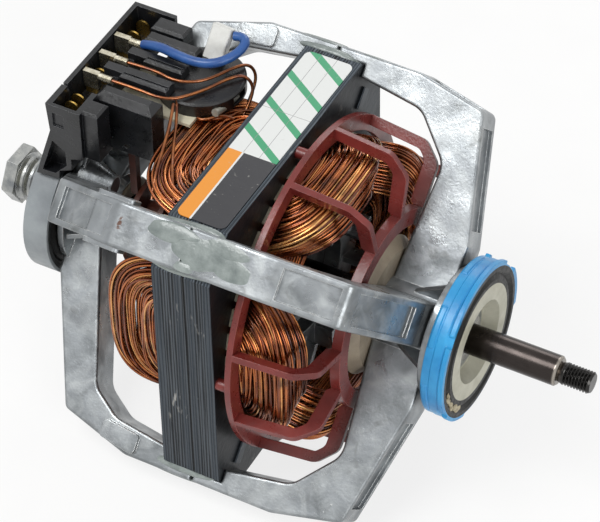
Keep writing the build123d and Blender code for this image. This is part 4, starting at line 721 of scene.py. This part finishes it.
# dried crumbs of adhesive on the front rubber: pale, rough and matt, in a row round its face
crumbs = {"x": 4.5, "radius": 28.6, "from": 102.0, "step": 5.5, "count": 8, "size": (0.8, 1.9, 1.5),
          "sizes": (0.6, 1.2), "stray": (0.8, 0.9)}
driedAdhesive = twoToned("driedAdhesive", "#9c9177", "#c9bfa3", 0.6, 3, depth=0.5, grain=1.0)
shells = []
for k in range(crumbs["count"]):
    size = np.array(crumbs["size"]) * rng.uniform(*crumbs["sizes"], 3)
    aside, outward = (rng.uniform(-most, most) for most in crumbs["stray"])
    middle = np.array([crumbs["x"], aside, crumbs["radius"] + outward])
    vertices, faces = bead(rng, middle, size, glue["smearRagged"])
    shells.append((turned(vertices, crumbs["from"] + crumbs["step"] * k), faces))
meshPiece("adhesive_crumbs", *joined(shells), driedAdhesive, "stator", "epoxy", (), 0)

# leads: smooth curves through the air between their ends, in mm; the first four copper routes are the CAD's
# leads, and the last four are the thin loops behind the protector
leads = {"bevel": 3, "perSpan": 8, "blue": 4.0, "copper": 1.4, "sleeve": 3.6}
blueRoute = [(-163.95, 28.7, 68.1), (-156.75, 27.6, 71.3), (-147.25, 25.4, 72.2), (-138.25, 24.4, 72.4),
             (-130.25, 26.0, 72.8), (-124.35, 31.8, 74.0), (-121.85, 39.5, 75.6), (-124.45, 43.6, 76.4),
             (-128.90, 42.79, 75.63)]
copperRoutes = [
    [(-164.15, 16.5, 67.5), (-151.75, 17.6, 67.4), (-144.75, 16.4, 66.8), (-138.25, 17.8, 66.4),
     (-132.75, 21.6, 66.2), (-128.75, 27.5, 66.1), (-125.75, 34, 66.2), (-121.55, 40.8, 65.4),
     (-118.55, 42.0, 60.4), (-117.75, 38.0, 55.2), (-117.35, 31.5, 52.1)],
    [(-164.15, 3.9, 67.5), (-151.75, 4.7, 67), (-144.75, 4.6, 66.4), (-137.95, 6.9, 65.8),
     (-132.95, 13, 65.4), (-128.25, 20.5, 65.2), (-124.55, 28, 65.6), (-119.75, 33.8, 65.6),
     (-115.55, 34.4, 61.0), (-115.15, 30.5, 55.6), (-115.35, 24.4, 52.1)],
    [(-142.25, 14.5, 55.2), (-137.25, 2.5, 53.6), (-131.75, -10.5, 52.8), (-125.75, -24, 52.1)],
    [(-140.25, 16.5, 55.2), (-134.25, 1, 53.8), (-126.25, -14, 52.8), (-117.25, -28, 52.1)],
    [(-137.2, 6.5, 63.9), (-134.0, -1.0, 62.5), (-130.5, -14.0, 58.2), (-127.8, -25.5, 54.6),
     (-124.8, -33.2, 49.5)],
    [(-137.3, 9.5, 63.2), (-133.5, 2.5, 59.5), (-128.8, -9.1, 55.9), (-121.0, -23.5, 55.4),
     (-114.5, -33.0, 51.0)],
    [(-137.9, 17.8, 58.0), (-132.0, 12.6, 57.0), (-127.6, 10.7, 56.4), (-123.5, 12.5, 56.6),
     (-119.8, 15.5, 56.2), (-117.0, 20.0, 55.6)],
    [(-137.9, 16.2, 59.4), (-132.4, 14.2, 57.8), (-128.0, 9.4, 57.0), (-124.0, 10.9, 57.6),
     (-120.0, 16.8, 57.4), (-116.0, 18.0, 55.4)],
]
sleeveRoute = [(-121.75, 13.0, 60.2), (-120.9, 20.5, 59.0), (-119.75, 28.0, 57.6)]


def leadCurve(name, routes, diameter, material, replaced=""):
    # a curve of one NURBS spline for each route, with a round bevel of half the diameter
    curve = bpy.data.curves.new(name, "CURVE")
    curve.dimensions = "3D"
    curve.bevel_depth = diameter / 2 * mm
    curve.bevel_resolution = leads["bevel"]
    curve.resolution_u = leads["perSpan"]
    curve.use_fill_caps = True
    for route in routes:
        spline = curve.splines.new("NURBS")
        spline.points.add(len(route) - 1)
        spline.points.foreach_set("co", [c for point in route for c in (*(v * mm for v in point), 1.0)])
        spline.order_u = 3
        spline.use_endpoint_u = True
    curve.materials.append(material)
    piece = bpy.data.objects.new(name, curve)
    bpy.context.scene.collection.objects.link(piece)
    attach(piece, "stator")
    if replaced:
        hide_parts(replaced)
    print(name, len(routes), "splines")


# flexible vinyl over the blue lead: saturated, soft gloss
bluePvc = twoToned("bluePvc", "#1b4382", "#305f9f", 0.34, 8)
leadCurve("blue_wire", [blueRoute], leads["blue"], bluePvc, "blue_lead")
leadCurve("copper_leads", copperRoutes, leads["copper"], leadCopper, "winding_leads")
# clear plastic sleeving over a splice: pale, glossy, lets some light through
clearFilm = twoToned("clearSleeving", "#b4b1a2", "#dedccf", 0.2, 5, Transmission_Weight=0.5)
leadCurve("splice_sleeve", [sleeveRoute], leads["sleeve"], clearFilm)

# camera at the photograph's angle; right and up are turned by the roll
view = {"azimuth": 29.22, "elevation": 44.46, "roll": -1.22, "lens": 188.23, "sensor": 36, "clipStart": 0.05,
        "place": (0.36904, -0.79670, 0.90416)}
azimuth, elevation, roll = (math.radians(view[key]) for key in ("azimuth", "elevation", "roll"))
back = Vector((math.sin(azimuth) * math.cos(elevation), -math.cos(azimuth) * math.cos(elevation),
               math.sin(elevation)))
right = (-back).cross(Vector((0, 0, 1))).normalized()
up = right.cross(-back)
right, up = math.cos(roll) * right + math.sin(roll) * up, math.cos(roll) * up - math.sin(roll) * right
cameraData = bpy.data.cameras.new("camera")
cameraData.lens = view["lens"]
cameraData.sensor_width = view["sensor"]
cameraData.sensor_fit = "HORIZONTAL"
cameraData.clip_start = view["clipStart"]
camera = bpy.data.objects.new("camera", cameraData)
camera.matrix_world = Matrix.Translation(view["place"]) @ Matrix((right, up, back)).transposed().to_4x4()
bpy.context.scene.collection.objects.link(camera)
bpy.context.scene.camera = camera

# soft studio light from three large round lamps: place and size in metres, power in watts
lampAim = Vector((-0.08, 0, 0))
lamps = {"key": ((-0.5, -0.7, 1.5), 0.9, 17), "fill": ((1.2, -0.9, 0.7), 1.0, 11),
         "back": ((-0.3, 1.4, 0.9), 0.8, 6)}
for name, (place, size, power) in lamps.items():
    data = bpy.data.lights.new(name, "AREA")
    data.shape = "DISK"
    data.size = size
    data.energy = power
    lamp = bpy.data.objects.new(name, data)
    lamp.location = place
    lamp.rotation_euler = (lampAim - Vector(place)).to_track_quat("-Z", "Y").to_euler()
    bpy.context.scene.collection.objects.link(lamp)
print("camera and", len(lamps), "lamps set")


def seenDirectly(tree):
    # 1 for what the camera sees straight, mirrored or through glass
    ray = addNode(tree, "ShaderNodeLightPath")
    seen = addNode(tree, "ShaderNodeMath", {0: ray["Is Camera Ray"], 1: ray["Is Glossy Ray"]},
                   operation="MAXIMUM")[0]
    return addNode(tree, "ShaderNodeMath", {0: seen, 1: ray["Is Transmission Ray"]}, operation="MAXIMUM")[0]


# the world: white where it is seen directly, and weaker as light on the object
studio = {"worldLight": 0.36, "floorGlow": 0.8, "half": 3.0,
          "paper": dict(size=40, tones=("#eeeeec", "#f6f6f4"))}
world = bpy.data.worlds.new("studio")
bpy.context.scene.world = world
world.use_nodes = True
tree = world.node_tree
strength = addNode(tree, "ShaderNodeMath",
                   {0: seenDirectly(tree), 1: 1 - studio["worldLight"], 2: studio["worldLight"]},
                   operation="MULTIPLY_ADD")[0]
tree.nodes["Background"].inputs["Color"].default_value = linear("#ffffff")
tree.links.new(strength, tree.nodes["Background"].inputs["Strength"])

# pale matt paper that keeps the shadow, part of it glowing white where it is seen directly
floorPaper, tree, shader = newMaterial("palePaper", 0.0, 0.8)
finish(tree, shader, patches(tree, millimetres(tree), **studio["paper"]))
glowing = addNode(tree, "ShaderNodeMath", {0: seenDirectly(tree), 1: studio["floorGlow"]},
                  operation="MULTIPLY")[0]
glow = addNode(tree, "ShaderNodeEmission", {"Color": "#ffffff", "Strength": 1.0})[0]
blended = addNode(tree, "ShaderNodeMixShader", {0: glowing, 1: shader.outputs[0], 2: glow})[0]
tree.links.new(blended, tree.nodes["Material Output"].inputs["Surface"])
half, level = studio["half"], cadBounds[0][2]
mesh = bpy.data.meshes.new("floor")
mesh.from_pydata([(-half, -half, level), (half, -half, level), (half, half, level), (-half, half, level)], [],
                 [(0, 1, 2, 3)])
mesh.materials.append(floorPaper)
floor = bpy.data.objects.new("floor", mesh)
bpy.context.scene.collection.objects.link(floor)

bpy.context.scene.view_settings.view_transform = "Standard"
print("scene ready")
